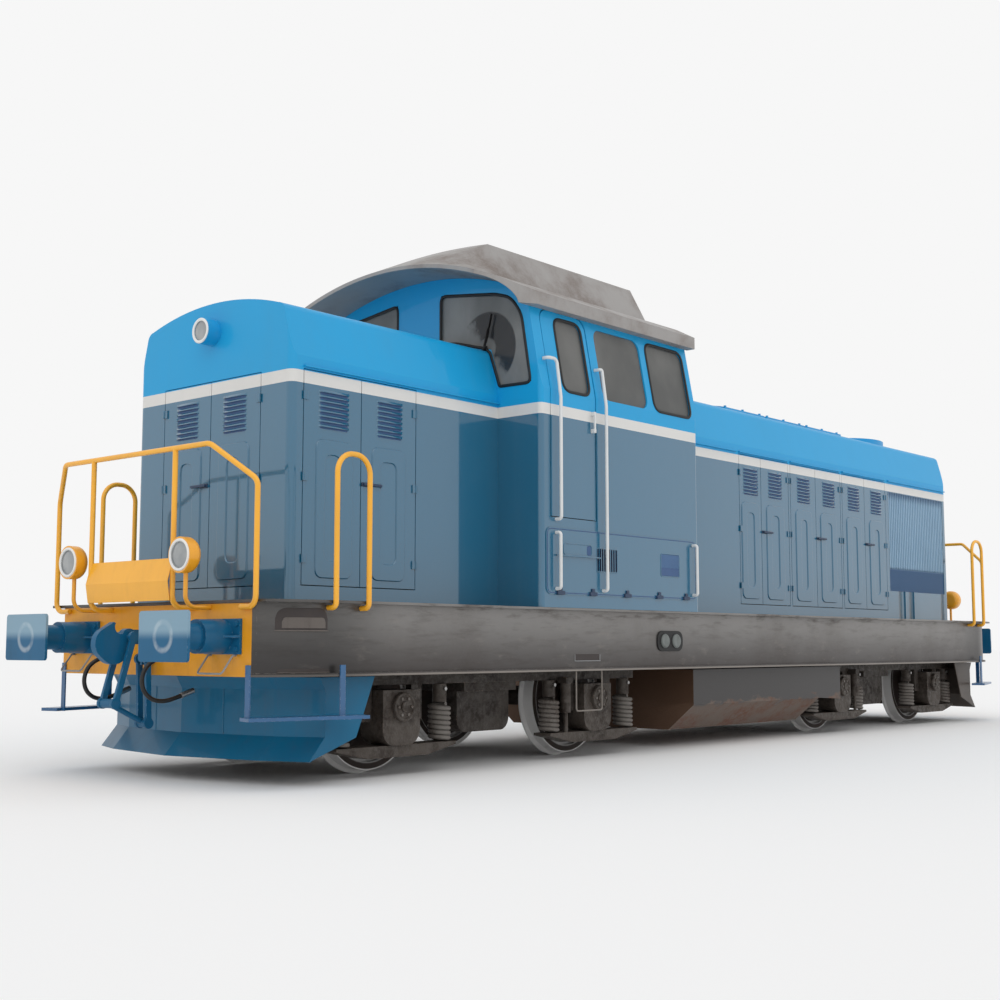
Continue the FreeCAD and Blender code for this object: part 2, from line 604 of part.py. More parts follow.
# One hose, by points outside its bends: reach beyond the headstock, half spread and height
HOSE_ROUTE = [
    (60, 360, 915), (138, 360, 915), (230, 361, 893), (302, 363, 835), (330, 366, 752),
    (310, 370, 670), (246, 375, 614), (164, 381, 598), (82, 388, 610), (6, 394, 636),
]


def hose_route(end, side):
    face = num(S.headstock_face)
    return [(end * (face + reach), side * y, z) for reach, y, z in HOSE_ROUTE]


def make_brake_hoses():
    for number, (end, side) in enumerate(((-1, -1), (-1, 1), (1, -1), (1, 1)), start=1):
        route = hose_route(end, side)
        path = []
        for before, corner, after in zip(route, route[1:], route[2:]):
            arrive = V(*corner) - V(*before)
            leave = V(*after) - V(*corner)
            reach = 0.45 * min(arrive.Length, leave.Length)
            path.append(round(reach / math.tan(arrive.getAngle(leave) / 2)))
        print("hose", number, "radii", path)
        hose = tube("brake_hose_%d" % number, route, S.hose_radius, S.hose_loosest_bend)
        node("brake_hose_%d" % number, hose)
    last = [V(*p) for p in hose_route(1, 1)[-2:]]
    cock = cylinder("hose_cock", (S.headstock_face, S.hose_half, S.hose_height), AHEAD,
                    S.hose_radius * 1.5, S.cock_length)
    handle = box("cock_handle", (S.headstock_face + S.cock_length / 3, S.headstock_face + S.cock_length / 2),
                 (S.hose_half - S.hose_radius / 2, S.hose_half + S.hose_radius / 2),
                 (S.hose_height + S.hose_radius, S.hose_height + S.cock_length * 1.5))
    pair = group("hose_cock_pair", both_sides("hose_cock", fuse("hose_cock_body", [cock, handle])))
    node("hose_cocks", group("hose_cocks", both_ends("hose_cock_pair", pair)))
    heading = (last[1] - last[0]).normalize()
    head = doc.addObject("Part::Cylinder", "hose_head")
    bind(head, "Radius", S.hose_radius * 1.3)
    bind(head, "Height", S.hose_head_length)
    head.Placement = FreeCAD.Placement(last[1], FreeCAD.Rotation(V(0, 0, 1), heading))
    heads = group("hose_head_pair", both_sides("hose_head", head))
    node("hose_couplings", group("hose_couplings", both_ends("hose_head_pair", heads)))


def plough_section(name, knee, y):
    sheet_back = knee - S.plough_sheet
    sketch = outline(name, [
        (knee + S.plough_lip, S.plough_top), (knee, S.plough_knee), (knee, S.plough_toe),
        (knee + S.plough_flare, S.plough_bottom),
        (knee + S.plough_flare - S.plough_sheet * 1.5, S.plough_bottom),
        (sheet_back, S.plough_toe + S.plough_sheet / 2), (sheet_back, S.plough_knee + S.plough_sheet / 2),
        (sheet_back + S.plough_lip, S.plough_top),
    ])
    place(sketch, 0, y, 0, PLANES["y"])
    return sketch


def make_ploughs():
    edge = plough_nose - S.plough_edge_back
    shoulder = plough_nose - S.plough_shoulder_back
    stations = [
        (edge, -plough_half), (shoulder, -plough_shoulder_half), (plough_nose, 0),
        (shoulder, plough_shoulder_half), (edge, plough_half),
    ]
    blade = doc.addObject("Part::Loft", "plough_blade")
    blade.Sections = [plough_section("plough_section_%d" % i, knee, y)
                      for i, (knee, y) in enumerate(stations)]
    blade.Solid = True
    blade.Ruled = True
    wing = extrude("plough_wing", "y", [
        (edge + S.plough_lip, S.plough_top), (edge, S.plough_knee), (edge, S.plough_toe),
        (edge + S.plough_flare, S.plough_bottom), (plough_wing_low, S.plough_wing_toe),
        (plough_wing_low - S.plough_lip, S.plough_wing_step), (plough_wing_rear, S.plough_top),
    ], plough_half - S.plough_sheet, plough_half)
    stay = box("plough_stay", (edge, plough_nose - S.plough_sheet - S.plough_lip),
               (S.beam_spread - S.plough_sheet / 2, S.beam_spread + S.plough_sheet / 2),
               (S.plough_toe, S.beam_bottom))
    parts = [blade] + both_sides("plough_wing", wing) + both_sides("plough_stay", stay)
    one = fuse("plough", parts)
    return node("ploughs", group("ploughs", both_ends("plough", one)))


def make_steps():
    bottom = S.step_top - S.step_thickness
    length_x = num(step_start - step_end)
    length_y = num(step_end_half - step_start_half)
    span = math.hypot(length_x, length_y)
    in_x = S.step_width * (length_y / span)
    in_y = S.step_width * (length_x / span)
    tread = extrude("step_tread", "z", [
        (step_start, step_start_half), (step_end, step_end_half),
        (step_end - in_x, step_end_half - in_y), (step_start - in_x, step_start_half - in_y),
    ], bottom, S.step_top)
    front = box("step_hanger_front", (S.headstock_face, S.headstock_face + S.hanger_thickness),
                (hanger_front_half - S.hanger_width / 2, hanger_front_half + S.hanger_width / 2),
                (bottom, S.hanger_top))
    lip = S.deck_half - S.sill_lip
    side = box("step_hanger_side", (hanger_side_x - S.hanger_width / 2, hanger_side_x + S.hanger_width / 2),
               (lip, lip + S.hanger_thickness), (bottom, S.hanger_top))
    one = fuse("corner_step", [tread, front, side])
    pair = group("corner_step_pair", both_sides("corner_step", one))
    return node("steps", group("steps", both_ends("corner_step_pair", pair)))


def make_grab_bars():
    """Thin round bars: a stirrup under each cab door, and a grip under each buffer."""
    half = S.deck_half - S.stirrup_back
    stirrup = tube("stirrup", [
        (-S.stirrup_front, half, S.sill_bottom), (-S.stirrup_front, half, S.stirrup_bottom),
        (-S.stirrup_rear, half, S.stirrup_bottom), (-S.stirrup_rear, half, S.sill_bottom),
    ], S.grab_radius, S.grab_bend)
    face = S.headstock_face
    inner = S.buffer_spread - S.grip_half
    outer = S.buffer_spread + S.grip_half
    grip = tube("buffer_grip", [
        (face, inner, S.grip_top), (face + S.grip_start, inner, S.grip_top),
        (face + S.grip_reach, inner, S.grip_bottom), (face + S.grip_reach, outer, S.grip_bottom),
        (face + S.grip_start, outer, S.grip_top), (face, outer, S.grip_top),
    ], S.grab_radius, S.grab_bend)
    grips = group("buffer_grip_pair", both_sides("buffer_grip", grip))
    parts = both_sides("stirrup", stirrup) + both_ends("buffer_grip_pair", grips)
    return node("grab_bars", group("grab_bars", parts))


def make_end_railings():
    x_post = rail_post_x
    half = rail_post_half
    foot_x = S.headstock_face + S.rail_radius + S.seat_gap
    bar = tube("end_rail", [
        (foot_x, -rail_foot_half, S.rail_foot), (x_post, -half, S.rail_foot),
        (x_post, -half, S.rail_shoulder), (rail_front_x, -rail_front_half, S.rail_top),
        (rail_front_x, rail_front_half, S.rail_top), (x_post, half, S.rail_shoulder),
        (x_post, half, S.rail_foot), (foot_x, rail_foot_half, S.rail_foot),
    ], S.rail_radius, S.rail_bend)
    post = tube("end_rail_post", [
        (rail_front_x, S.rail_mid_half, S.rail_top), (rail_front_x, S.rail_mid_half, S.rail_foot),
        (S.headstock_face, S.rail_mid_half, S.rail_foot),
    ], S.rail_radius, S.rail_bend)
    sheet_x = rail_front_x
    thick = S.rail_panel_sheet
    panel = extrude("end_rail_panel", "y", [
        (sheet_x, S.rail_panel_top), (sheet_x + S.rail_panel_bulge, S.rail_panel_crease),
        (sheet_x + S.rail_panel_bulge / 2, S.rail_panel_bottom),
        (sheet_x + S.rail_panel_bulge / 2 - thick, S.rail_panel_bottom),
        (sheet_x + S.rail_panel_bulge - thick, S.rail_panel_crease), (sheet_x - thick, S.rail_panel_top),
    ], -S.rail_mid_half, S.rail_mid_half)
    one = fuse("end_railing", [bar, panel] + both_sides("end_rail_post", post))
    return both_ends("end_railing", one)


def make_side_hoops():
    hoop = tube("side_hoop", [
        (hoop_front, sill_half, S.hoop_foot), (hoop_front, hoop_half, S.hoop_foot),
        (hoop_front, hoop_half, S.hoop_top), (hoop_rear, hoop_half, S.hoop_top),
        (hoop_rear, hoop_half, S.hoop_foot), (hoop_rear, sill_half, S.hoop_foot),
    ], S.rail_radius, S.hoop_bend)
    pair = group("side_hoop_pair", both_sides("side_hoop", hoop))
    return both_ends("side_hoop_pair", pair)


def revolve(name, points, centre, rotation):
    """A profile of (radius, place along the axis) turned about the axis that rotation gives."""
    sketch = outline(name + "_profile", points)
    obj = doc.addObject("Part::Revolution", name)
    obj.Source = sketch
    obj.Axis = V(0, 1, 0)
    obj.Base = V(0, 0, 0)
    obj.Angle = 360
    obj.Solid = True
    place(obj, centre[0], centre[1], centre[2], rotation)
    return obj


ALONG_X = FreeCAD.Rotation(V(0, 0, 1), -90)


def lens_profile(radius):
    """The domed face of a lamp glass, from its rim to a small flat on the axis."""
    return [
        (radius, 0), (radius, S.lamp_lens_depth / 2),
        (radius * 0.6, S.lamp_lens_depth * 0.85, "via"), (radius * 0.1, S.lamp_lens_depth),
        (0, S.lamp_lens_depth),
    ]


def make_lamps():
    radius = S.lamp_radius
    back = lamp_x - S.lamp_depth
    housing = revolve("marker_lamp_housing", [
        (0, 0), (radius * 0.55, 0), (radius * 0.9, S.lamp_depth * 0.2, "via"), (radius, S.lamp_depth * 0.5),
        (radius, S.lamp_depth), (S.lamp_ring_radius, S.lamp_depth),
        (S.lamp_ring_radius, S.lamp_depth - S.lamp_lens_depth),
        (0, S.lamp_depth - S.lamp_lens_depth),
    ], (back, S.lamp_spread, S.lamp_height), ALONG_X)
    stem_x = back + S.lamp_depth / 2
    stem = tube("marker_lamp_stem", [
        (stem_x, S.lamp_spread, S.lamp_height - radius * 0.9), (stem_x, S.lamp_spread, S.rail_foot),
        (S.headstock_face, S.lamp_spread, S.rail_foot),
    ], S.lamp_stem_radius, S.rail_bend)
    lamp = fuse("marker_lamp", [housing, stem])
    pair = group("marker_lamp_pair", both_sides("marker_lamp", lamp))
    head = both_ends("marker_lamp_pair", pair)
    lenses = []
    for end, face in ((-1, S.short_hood_front), (1, S.long_hood_end)):
        turn = ALONG_X if end > 0 else FreeCAD.Rotation(V(0, 0, 1), 90)
        head.append(revolve("headlamp_%d" % (end + 1), [
            (0, 0), (S.headlamp_radius, 0), (S.headlamp_radius, S.headlamp_reach),
            (S.headlamp_lens_radius, S.headlamp_reach),
            (S.headlamp_lens_radius, S.headlamp_reach - S.lamp_lens_depth),
            (0, S.headlamp_reach - S.lamp_lens_depth),
        ], (face * end, 0, headlamp_height), turn))
        lenses.append(revolve("headlamp_lens_%d" % (end + 1),
                              [(0, 0)] + lens_profile(S.headlamp_lens_radius - S.seat_gap),
                              ((face + S.headlamp_reach - S.lamp_lens_depth) * end, 0, headlamp_height),
                              turn))
    node("lamps", group("lamps", head))
    ring = S.lamp_ring_radius - S.seat_gap
    lens = revolve("marker_lamp_lens", [
        (0, 0), (ring, 0), (ring, S.lamp_lens_depth), (S.lamp_lens_radius, S.lamp_lens_depth),
    ] + lens_profile(S.lamp_lens_radius)[1:],
        (lamp_x - S.lamp_lens_depth, S.lamp_spread, S.lamp_height), ALONG_X)
    lens_pair = group("marker_lens_pair", both_sides("marker_lamp_lens", lens))
    node("lamp_lenses", group("lamp_lenses", both_ends("marker_lens_pair", lens_pair) + lenses))


def make_tank():
    def section(half, low_half):
        return [
            (half, S.tank_top), (half, S.tank_bevel_height), (low_half, S.tank_bottom),
            (-low_half, S.tank_bottom), (-half, S.tank_bevel_height), (-half, S.tank_top),
        ]
    body = extrude("tank_body", "x", section(tank_half, tank_bottom_half), -S.tank_front, S.tank_back)
    skirt = extrude("tank_skirt", "y", [
        (S.tank_back, S.tank_top), (S.tank_rear, S.tank_top), (S.tank_rear, S.tank_skirt_low),
        (S.tank_back, S.tank_bevel_height),
    ], tank_half - S.tank_skirt, tank_half)
    hanger = box("tank_hanger", (-S.tank_front + S.tank_strap, S.tank_back - S.tank_strap),
                 (S.beam_spread - S.tank_strap, S.beam_spread + S.tank_strap),
                 (S.tank_top, S.beam_bottom))
    parts = [body] + both_sides("tank_skirt", skirt) + both_sides("tank_hanger", hanger)
    return node("fuel_tank", fuse("fuel_tank", parts))


def hood_section(wall, base):
    """Half outline of a hood with its other half mirrored, moved in by the wall."""
    side = [
        (S.hood_half - wall, base), (S.hood_half - wall, S.hood_lean_height),
        (S.hood_shoulder_half - wall, hood_shoulder_height),
        (S.hood_bend_half - wall, hood_bend_height - wall, "via"),
        (S.hood_eave_half - wall, hood_eave_height - wall),
    ]
    back = [(-p[0],) + tuple(p[1:]) for p in reversed(side)]
    return side + [(0, hood_crown - wall, "via")] + back


def hood_outer(name, low, high, play=0):
    return extrude(name, "x", hood_section(-play, S.deck_top), low, high)


def round_plan(name, x, half, corner, z):
    """A tall block with round corners in plan, to trim a hood or cab with."""
    return extrude(name, "z", rounded(x, (-half, half), corner), z[0], z[1])


def side_opening(name, start, end):
    return box(name, (start - S.door_gap, end + S.door_gap),
               (-S.hood_half - S.overrun, S.hood_half + S.overrun),
               (S.door_sill - S.door_gap, door_head + S.door_gap))


def gutter(name, start, end):
    strip = box(name, (start, end), (S.hood_half, S.hood_half + S.gutter_depth),
                (gutter_height, gutter_height + S.gutter_thickness))
    return both_sides(name, strip)


def make_short_hood():
    far_end = -S.cab_front
    block = common("short_hood_block",
                   hood_outer("short_hood_outer", -S.short_hood_front, far_end),
                   round_plan("short_hood_plan", (-S.short_hood_front, far_end + S.hood_corner * 2),
                              S.hood_half, S.hood_corner, (S.deck_top, hood_crown + S.overrun)))
    inner = extrude("short_hood_inner", "x", hood_section(S.hood_wall, S.deck_top),
                    S.hood_wall - S.short_hood_front, far_end)
    front = box("front_door_opening",
                (-S.short_hood_front - S.overrun, -S.short_hood_front + S.hood_wall + S.overrun),
                (-S.front_door_half - S.door_gap, S.front_door_half + S.door_gap),
                (S.door_sill - S.door_gap, door_head + S.door_gap))
    sides = side_opening("short_side_opening", -S.side_door_start, -S.side_door_end)
    shell = cut("short_hood_shell", block, inner, front, sides)
    strips = gutter("short_gutter", -S.side_door_start - S.door_gap, far_end)
    return node("short_hood", fuse("short_hood", [shell] + strips))


BAYS = [
    (S.bay_one_start, S.bay_one_split, S.bay_one_end),
    (S.bay_two_start, S.bay_two_split, S.bay_two_end),
    (S.bay_three_start, S.bay_three_split, S.bay_three_end),
]


def make_long_hood():
    near_end = -S.cab_rear
    block = common("long_hood_block",
                   hood_outer("long_hood_outer", near_end, S.long_hood_end),
                   round_plan("long_hood_plan", (near_end - S.hood_corner * 2, S.long_hood_end),
                              S.hood_half, S.hood_corner, (S.deck_top, hood_crown + S.overrun)))
    inner = extrude("long_hood_inner", "x", hood_section(S.hood_wall, S.deck_top),
                    near_end, S.long_hood_end - S.hood_wall)
    tools = [inner]
    for number, (start, split, end) in enumerate(BAYS, start=1):
        tools.append(side_opening("long_side_opening_%d" % number, start, end))
    tools.append(box("grille_opening", (S.grille_start, S.grille_end),
                     (-S.hood_half - S.overrun, S.hood_half + S.overrun), (S.grille_bottom, grille_top)))
    shell = cut("long_hood_shell", block, *tools)
    parts = [shell]
    parts += gutter("gutter_cab", near_end, S.bay_one_start - S.gutter_break * 4)
    for number, (start, split, end) in enumerate(BAYS, start=1):
        parts += gutter("gutter_bay_%d" % number, start - S.gutter_break, end - S.gutter_break)
    parts += gutter("gutter_grille", S.grille_start - S.gutter_break, S.long_hood_end - S.hood_corner)
    for number, place_x in enumerate((S.conduit_one, S.conduit_two), start=1):
        pipe = box("conduit_%d" % number, (place_x - S.conduit_radius, place_x + S.conduit_radius),
                   (S.hood_half, S.hood_half + S.conduit_radius), (S.deck_top, S.grille_bottom))
        parts += both_sides("conduit_%d" % number, pipe)
    return node("long_hood", fuse("long_hood", parts))


def make_grilles():
    outer = S.hood_half
    inner = outer - S.grille_depth
    parts = [box("grille_band", (S.grille_start, S.grille_end), (inner, outer - S.grille_frame / 2),
                 (S.grille_bottom, S.grille_bottom + S.grille_band))]
    parts.append(box("grille_back", (S.grille_start, S.grille_end),
                     (inner - S.grille_frame, inner), (S.grille_bottom, grille_top)))
    count = round(num(S.grille_end - S.grille_start) / num(S.grille_pitch))
    step = (S.grille_end - S.grille_start) / count
    for number in range(count):
        start = S.grille_start + step * number + (step - S.fin_width) / 2
        parts.append(box("grille_fin_%d" % number, (start, start + S.fin_width), (inner, outer),
                         (S.grille_bottom + S.grille_band, grille_top)))
    side = group("grille_side", parts)
    return node("radiator_grilles", group("radiator_grilles", both_sides("grille_side", side)))


HINGE_SHARES = (0.12, 0.5, 0.88)
barrel_radius = S.hinge_offset - S.seat_gap


def door_leaf(name, start, end, hinge_low):
    """A side leaf seen from +Y: hinge_low tells whether the hinge is at its lower X edge."""
    half_gap = S.door_gap / 2
    low = start if hinge_low else start + half_gap
    high = end - half_gap if hinge_low else end
    leaf = box(name + "_leaf", (low, high), (S.hood_half - S.door_thickness, S.hood_half),
               (S.door_sill, door_head))
    pin_x = start - half_gap if hinge_low else end + half_gap
    parts = [leaf]
    for number, share in enumerate(HINGE_SHARES):
        level = S.door_sill + (door_head - S.door_sill) * share - S.hinge_length / 2
        barrel = cylinder("%s_barrel_%d" % (name, number), (pin_x, S.hood_half + S.hinge_offset, level),
                          UPRIGHT, barrel_radius, S.hinge_length)
        inward = (pin_x, pin_x + S.hinge_strap) if hinge_low else (pin_x - S.hinge_strap, pin_x)
        strap = box("%s_strap_%d" % (name, number), inward, (S.hood_half, S.hood_half + S.hinge_offset),
                    (level, level + S.hinge_length))
        parts += [barrel, strap]
    return fuse(name + "_body", parts)


def make_side_doors():
    leaves = [("short_door_front", -S.side_door_start, -S.side_door_split, True),
              ("short_door_rear", -S.side_door_split, -S.side_door_end, False)]
    for number, (start, split, end) in enumerate(BAYS, start=1):
        leaves.append(("long_door_%da" % number, start, split, True))
        leaves.append(("long_door_%db" % number, split, end, False))
    for name, start, end, hinge_low in leaves:
        leaf = door_leaf(name, start, end, hinge_low)
        node(name + "_left", leaf)
        node(name + "_right", mirror(name + "_right", leaf, V(0, 1, 0)))


def make_front_doors():
    face = -S.short_hood_front
    half_gap = S.door_gap / 2
    parts = [box("front_door_leaf", (face, face + S.door_thickness), (half_gap, S.front_door_half),
                 (S.door_sill, door_head))]
    pin_y = S.front_door_half + half_gap
    for number, share in enumerate(HINGE_SHARES):
        level = S.door_sill + (door_head - S.door_sill) * share - S.hinge_length / 2
        parts.append(cylinder("front_barrel_%d" % number, (face - S.hinge_offset, pin_y, level),
                              UPRIGHT, barrel_radius, S.hinge_length))
        parts.append(box("front_strap_%d" % number, (face - S.hinge_offset, face),
                         (pin_y - S.hinge_strap, pin_y), (level, level + S.hinge_length)))
    leaf = fuse("front_door_body", parts)
    node("front_door_left", leaf)
    node("front_door_right", mirror("front_door_right", leaf, V(0, 1, 0)))


def cab_section(wall, base):
    side = [
        (cab_half - wall, base), (cab_half - wall, S.cab_lean_height),
        (cab_top_half - wall, cab_top), (cab_bend_half - wall, cab_bend_top - wall, "via"),
        (cab_shoulder_half - wall, cab_shoulder_top - wall),
    ]
    back = [(-p[0],) + tuple(p[1:]) for p in reversed(side)]
    return side + [(0, cab_crown - wall, "via")] + back


def cab_block(name, wall, base):
    """The cab as a solid, moved in by the wall on every side but its bottom."""
    x = (-S.cab_front + wall, -S.cab_rear - wall)
    body = extrude(name + "_section", "x", cab_section(wall, base), x[0], x[1])
    plan = round_plan(name + "_plan", x, cab_half - wall, S.cab_corner, (base, cab_crown))
    return common(name, body, plan)


def across(name, points):
    """A cutter through both sides of the cab."""
    return extrude(name, "y", points, -cab_half - S.overrun, cab_half + S.overrun)


def door_outline(play_front, play_rear, play_up):
    x = (-S.cab_door_front - play_front, -S.cab_door_rear + play_rear)
    return rounded_top(x, (S.cab_door_sill - play_up, cab_door_head + play_up), S.cab_door_corner)


def rounded_top(x, z, corner):
    lean = corner * (1 - math.sqrt(0.5))
    return [
        (x[0], z[0]), (x[1], z[0]), (x[1], z[1] - corner), (x[1] - lean, z[1] - lean, "via"),
        (x[1] - corner, z[1]), (x[0] + corner, z[1]), (x[0] + lean, z[1] - lean, "via"),
        (x[0], z[1] - corner),
    ]


def side_window(tag, front, rear, play):
    return across(tag, rounded((-front + play, -rear - play),
                               (window_sill + play, window_head - play), S.window_corner))


def window_tools(tag, play=0):
    """Cutters for the fixed windows: the play makes a pane a little smaller than its opening."""
    middle = side_window(tag + "_middle", S.mid_window_front, S.mid_window_rear, play)
    rear = side_window(tag + "_rear", S.rear_window_front, S.rear_window_rear, play)
    end = extrude(tag + "_end", "x", end_window(play), -S.cab_front - S.overrun, -S.cab_rear + S.overrun)
    return [middle, rear] + both_sides(tag + "_end", end)


def end_window(play):
    """The L-shaped end window that steps over the hood's shoulder."""
    inner = S.end_window_inner + play
    sill = end_window_sill + play
    return [
        (inner, end_window_low + play), (inner, end_window_top - play),
        (end_window_arch_half - play, end_window_arch - play),
        (end_window_bend_half - play, end_window_bend - play, "via"),
        (end_window_outer_top - play, end_window_shoulder - play),
        (end_window_outer - play, sill), (end_window_step_low + play, sill),
        (end_window_step + play, end_window_notch + play),
    ]


def door_window(tag, play=0):
    return side_window(tag, S.door_window_front, S.door_window_rear, play)


def cab_wall_inside(level):
    """Half the space between the cab's side walls at a height."""
    slope = (cab_half - cab_top_half) / (cab_top - S.cab_lean_height)
    above = level - S.cab_lean_height
    return cab_half - S.cab_wall - slope * above if num(above) > 0 else cab_half - S.cab_wall


def cab_door_hinges():
    """Two barrels on one leaning line, just inside the leaf's foot and just inside its head."""
    inner = cab_half - S.cab_wall
    foot_y = inner - S.cab_hinge_offset
    lean = (foot_y - cab_hinge_head_half) / (cab_hinge_head - S.cab_door_sill)
    pin_x = -S.cab_door_front - S.door_gap / 2
    tilt = FreeCAD.Rotation(V(1, 0, 0), math.degrees(math.atan(num(lean))))
    parts = []
    for number, level in enumerate((S.cab_door_sill, cab_hinge_head - S.cab_hinge_length), start=1):
        y = foot_y - lean * (level - S.cab_door_sill)
        parts.append(cylinder("cab_barrel_%d" % number, (pin_x, y, level), tilt,
                              S.cab_hinge_offset - S.seat_gap, S.cab_hinge_length))
        parts.append(box("cab_hinge_strap_%d" % number, (pin_x, pin_x + S.hinge_strap),
                         (y - S.cab_hinge_offset / 2, cab_wall_inside(level) + S.cab_hinge_offset * 2),
                         (level, level + S.cab_hinge_length)))
    return parts


def make_cab():
    outer = cab_block("cab_outer", S.no_wall, S.deck_top)
    inner = cab_block("cab_inner", S.cab_wall, S.deck_top)
    door_play = S.door_gap
    opening = across("cab_door_opening", door_outline(door_play, S.cab_door_play, door_play))
    shell = cut("cab_shell", outer, inner, opening, *window_tools("cab_window"))
    node("cab_body", shell)

    pane_outer = cab_block("pane_outer", S.pane_inset, window_sill - S.overrun)
    pane_inner = cab_block("pane_inner", S.pane_inset + S.pane_thickness, window_sill - S.overrun * 2)
    layer = cut("pane_layer", pane_outer, pane_inner)
    panes = common("cab_panes", layer, group("pane_tools", window_tools("pane", S.seat_gap)))
    node("cab_glass", panes)

    wall_layer = cut("door_layer", cab_block("door_outer", S.no_wall, S.deck_top),
                     cab_block("door_inner", S.cab_wall, S.deck_top - S.overrun))
    far_half = box("far_half", (-S.cab_front, -S.cab_rear), (0, cab_half + S.overrun),
                   (S.deck_top, cab_crown))
    leaf_tool = common("leaf_tool",
                       across("leaf_outline", door_outline(S.no_wall, S.no_wall, S.no_wall)),
                       far_half)
    panel = cut("cab_door_panel", common("leaf_blank", wall_layer, leaf_tool), door_window("door_hole"))
    leaf = fuse("cab_door_leaf", [panel] + cab_door_hinges())
    node("cab_door_left", leaf)
    node("cab_door_right", mirror("cab_door_right", leaf, V(0, 1, 0)))
    glass_half = box("glass_half", (-S.cab_front, -S.cab_rear), (0, cab_half + S.overrun),
                     (S.deck_top, cab_crown))
    door_layer = cut("door_pane_layer",
                     cab_block("door_pane_outer", S.pane_inset, window_sill - S.overrun),
                     cab_block("door_pane_inner", S.pane_inset + S.pane_thickness,
                               window_sill - S.overrun * 2))
    pane = common("door_pane", door_layer,
                  common("door_pane_tool", door_window("door_glass", S.seat_gap), glass_half))
    node("cab_door_glass_left", pane)
    node("cab_door_glass_right", mirror("cab_door_glass_right", pane, V(0, 1, 0)))


def make_cab_roof():
    x = (-S.roof_front, -S.roof_rear)
    side = [
        (roof_half, roof_eave), (roof_half, roof_edge_top), (roof_bend_half, roof_bend_top),
    ]
    back = [(-p[0],) + tuple(p[1:]) for p in reversed(side)]
    outer = extrude("roof_outer", "x", side + [(0, roof_crown, "via")] + back, x[0], x[1])
    plan = extrude("roof_plan", "z", [
        (x[0], -roof_front_half), (-S.roof_corner_x, -roof_half), (x[1], -roof_half),
        (x[1], roof_half), (-S.roof_corner_x, roof_half), (x[0], roof_front_half),
    ], roof_eave - S.overrun, hatch_top_crown + S.overrun)
    shell = common("roof_trimmed", outer, plan)
    raised = extrude("roof_raised", "x", raised_section(), -S.hatch_front_x, -S.hatch_rear_x)
    high = outline("roof_nose_high", raised_section())
    place(high, -S.hatch_front_x, 0, 0, PLANES["x"])
    low = outline("roof_nose_low", [
        (roof_front_half - S.hatch_nose_in, cab_top),
        (roof_front_half - S.hatch_nose_in, roof_nose_side), (0, roof_crown, "via"),
        (-roof_front_half + S.hatch_nose_in, roof_nose_side),
        (-roof_front_half + S.hatch_nose_in, cab_top),
    ])
    place(low, x[0], 0, 0, PLANES["x"])
    nose = doc.addObject("Part::Loft", "roof_nose")
    nose.Sections = [low, high]
    nose.Solid = True
    nose.Ruled = True
    whole = fuse("roof_whole", [shell, raised, nose])
    under = extrude("roof_under", "x", cab_section(-S.seat_gap, S.deck_top),
                    x[0] - S.overrun, x[1] + S.overrun)
    return node("cab_roof", cut("cab_roof", whole, under))


def raised_section():
    return [
        (hatch_foot_half, cab_top), (hatch_foot_half, hatch_foot), (hatch_top_half, hatch_top_edge),
        (0, hatch_top_crown, "via"),
        (-hatch_top_half, hatch_top_edge), (-hatch_foot_half, hatch_foot),
        (-hatch_foot_half, cab_top),
    ]


def make_lower_panels():
    panel = extrude("lower_panel", "y", rounded(
        (-S.lower_panel_front, -S.lower_panel_rear), (S.lower_panel_bottom, S.lower_panel_top),
        S.lower_panel_corner), cab_half, cab_half + S.lower_panel_thickness)
    return node("cab_lower_panels", group("cab_lower_panels", both_sides("lower_panel", panel)))


def make_cab_handrails():
    wall = cab_half
    out = wall + S.cab_rail_reach
    panel = wall + S.lower_panel_thickness
    lean = (cab_half - cab_top_half) / (cab_top - S.cab_lean_height)
    hook = wall - lean * (rail_hook_height - S.cab_rail_radius - S.cab_lean_height) + S.seat_gap
    rails = []
    for name, x, hook_x, foot, face in (
            ("door_rail_front", S.door_rail_front, S.door_rail_front_hook, S.door_rail_foot, wall),
            ("door_rail_rear", S.door_rail_rear, S.door_rail_rear_hook, S.door_rail_rear_foot, panel)):
        rails.append(tube(name, [
            (-x, face, foot), (-x, out, foot), (-x, out, rail_lean_height),
            (-x, hook + S.cab_rail_reach, rail_hook_height),
            (-hook_x, hook + S.cab_rail_reach, rail_hook_height), (-hook_x, hook, rail_hook_height),
        ], S.cab_rail_radius, S.cab_rail_bend))
    for name, x in (("panel_rail_front", S.panel_rail_front), ("panel_rail_rear", S.panel_rail_rear)):
        rails.append(tube(name, [
            (-x, panel, S.door_rail_rear_foot), (-x, out, S.door_rail_rear_foot),
            (-x, out, S.panel_rail_top), (-x, panel, S.panel_rail_top),
        ], S.cab_rail_radius, S.cab_rail_bend))
    side = group("cab_rail_side", rails)
    return node("cab_handrails", group("cab_handrails", both_sides("cab_rail_side", side)))


def roof_height(y):
    """Height of the hood roof at a place across it."""
    rise = num(hood_crown - hood_eave_height)
    radius = (num(S.hood_eave_half) ** 2 + rise ** 2) / (2 * rise)
    return num(hood_crown) - radius + math.sqrt(radius ** 2 - num(y) ** 2)


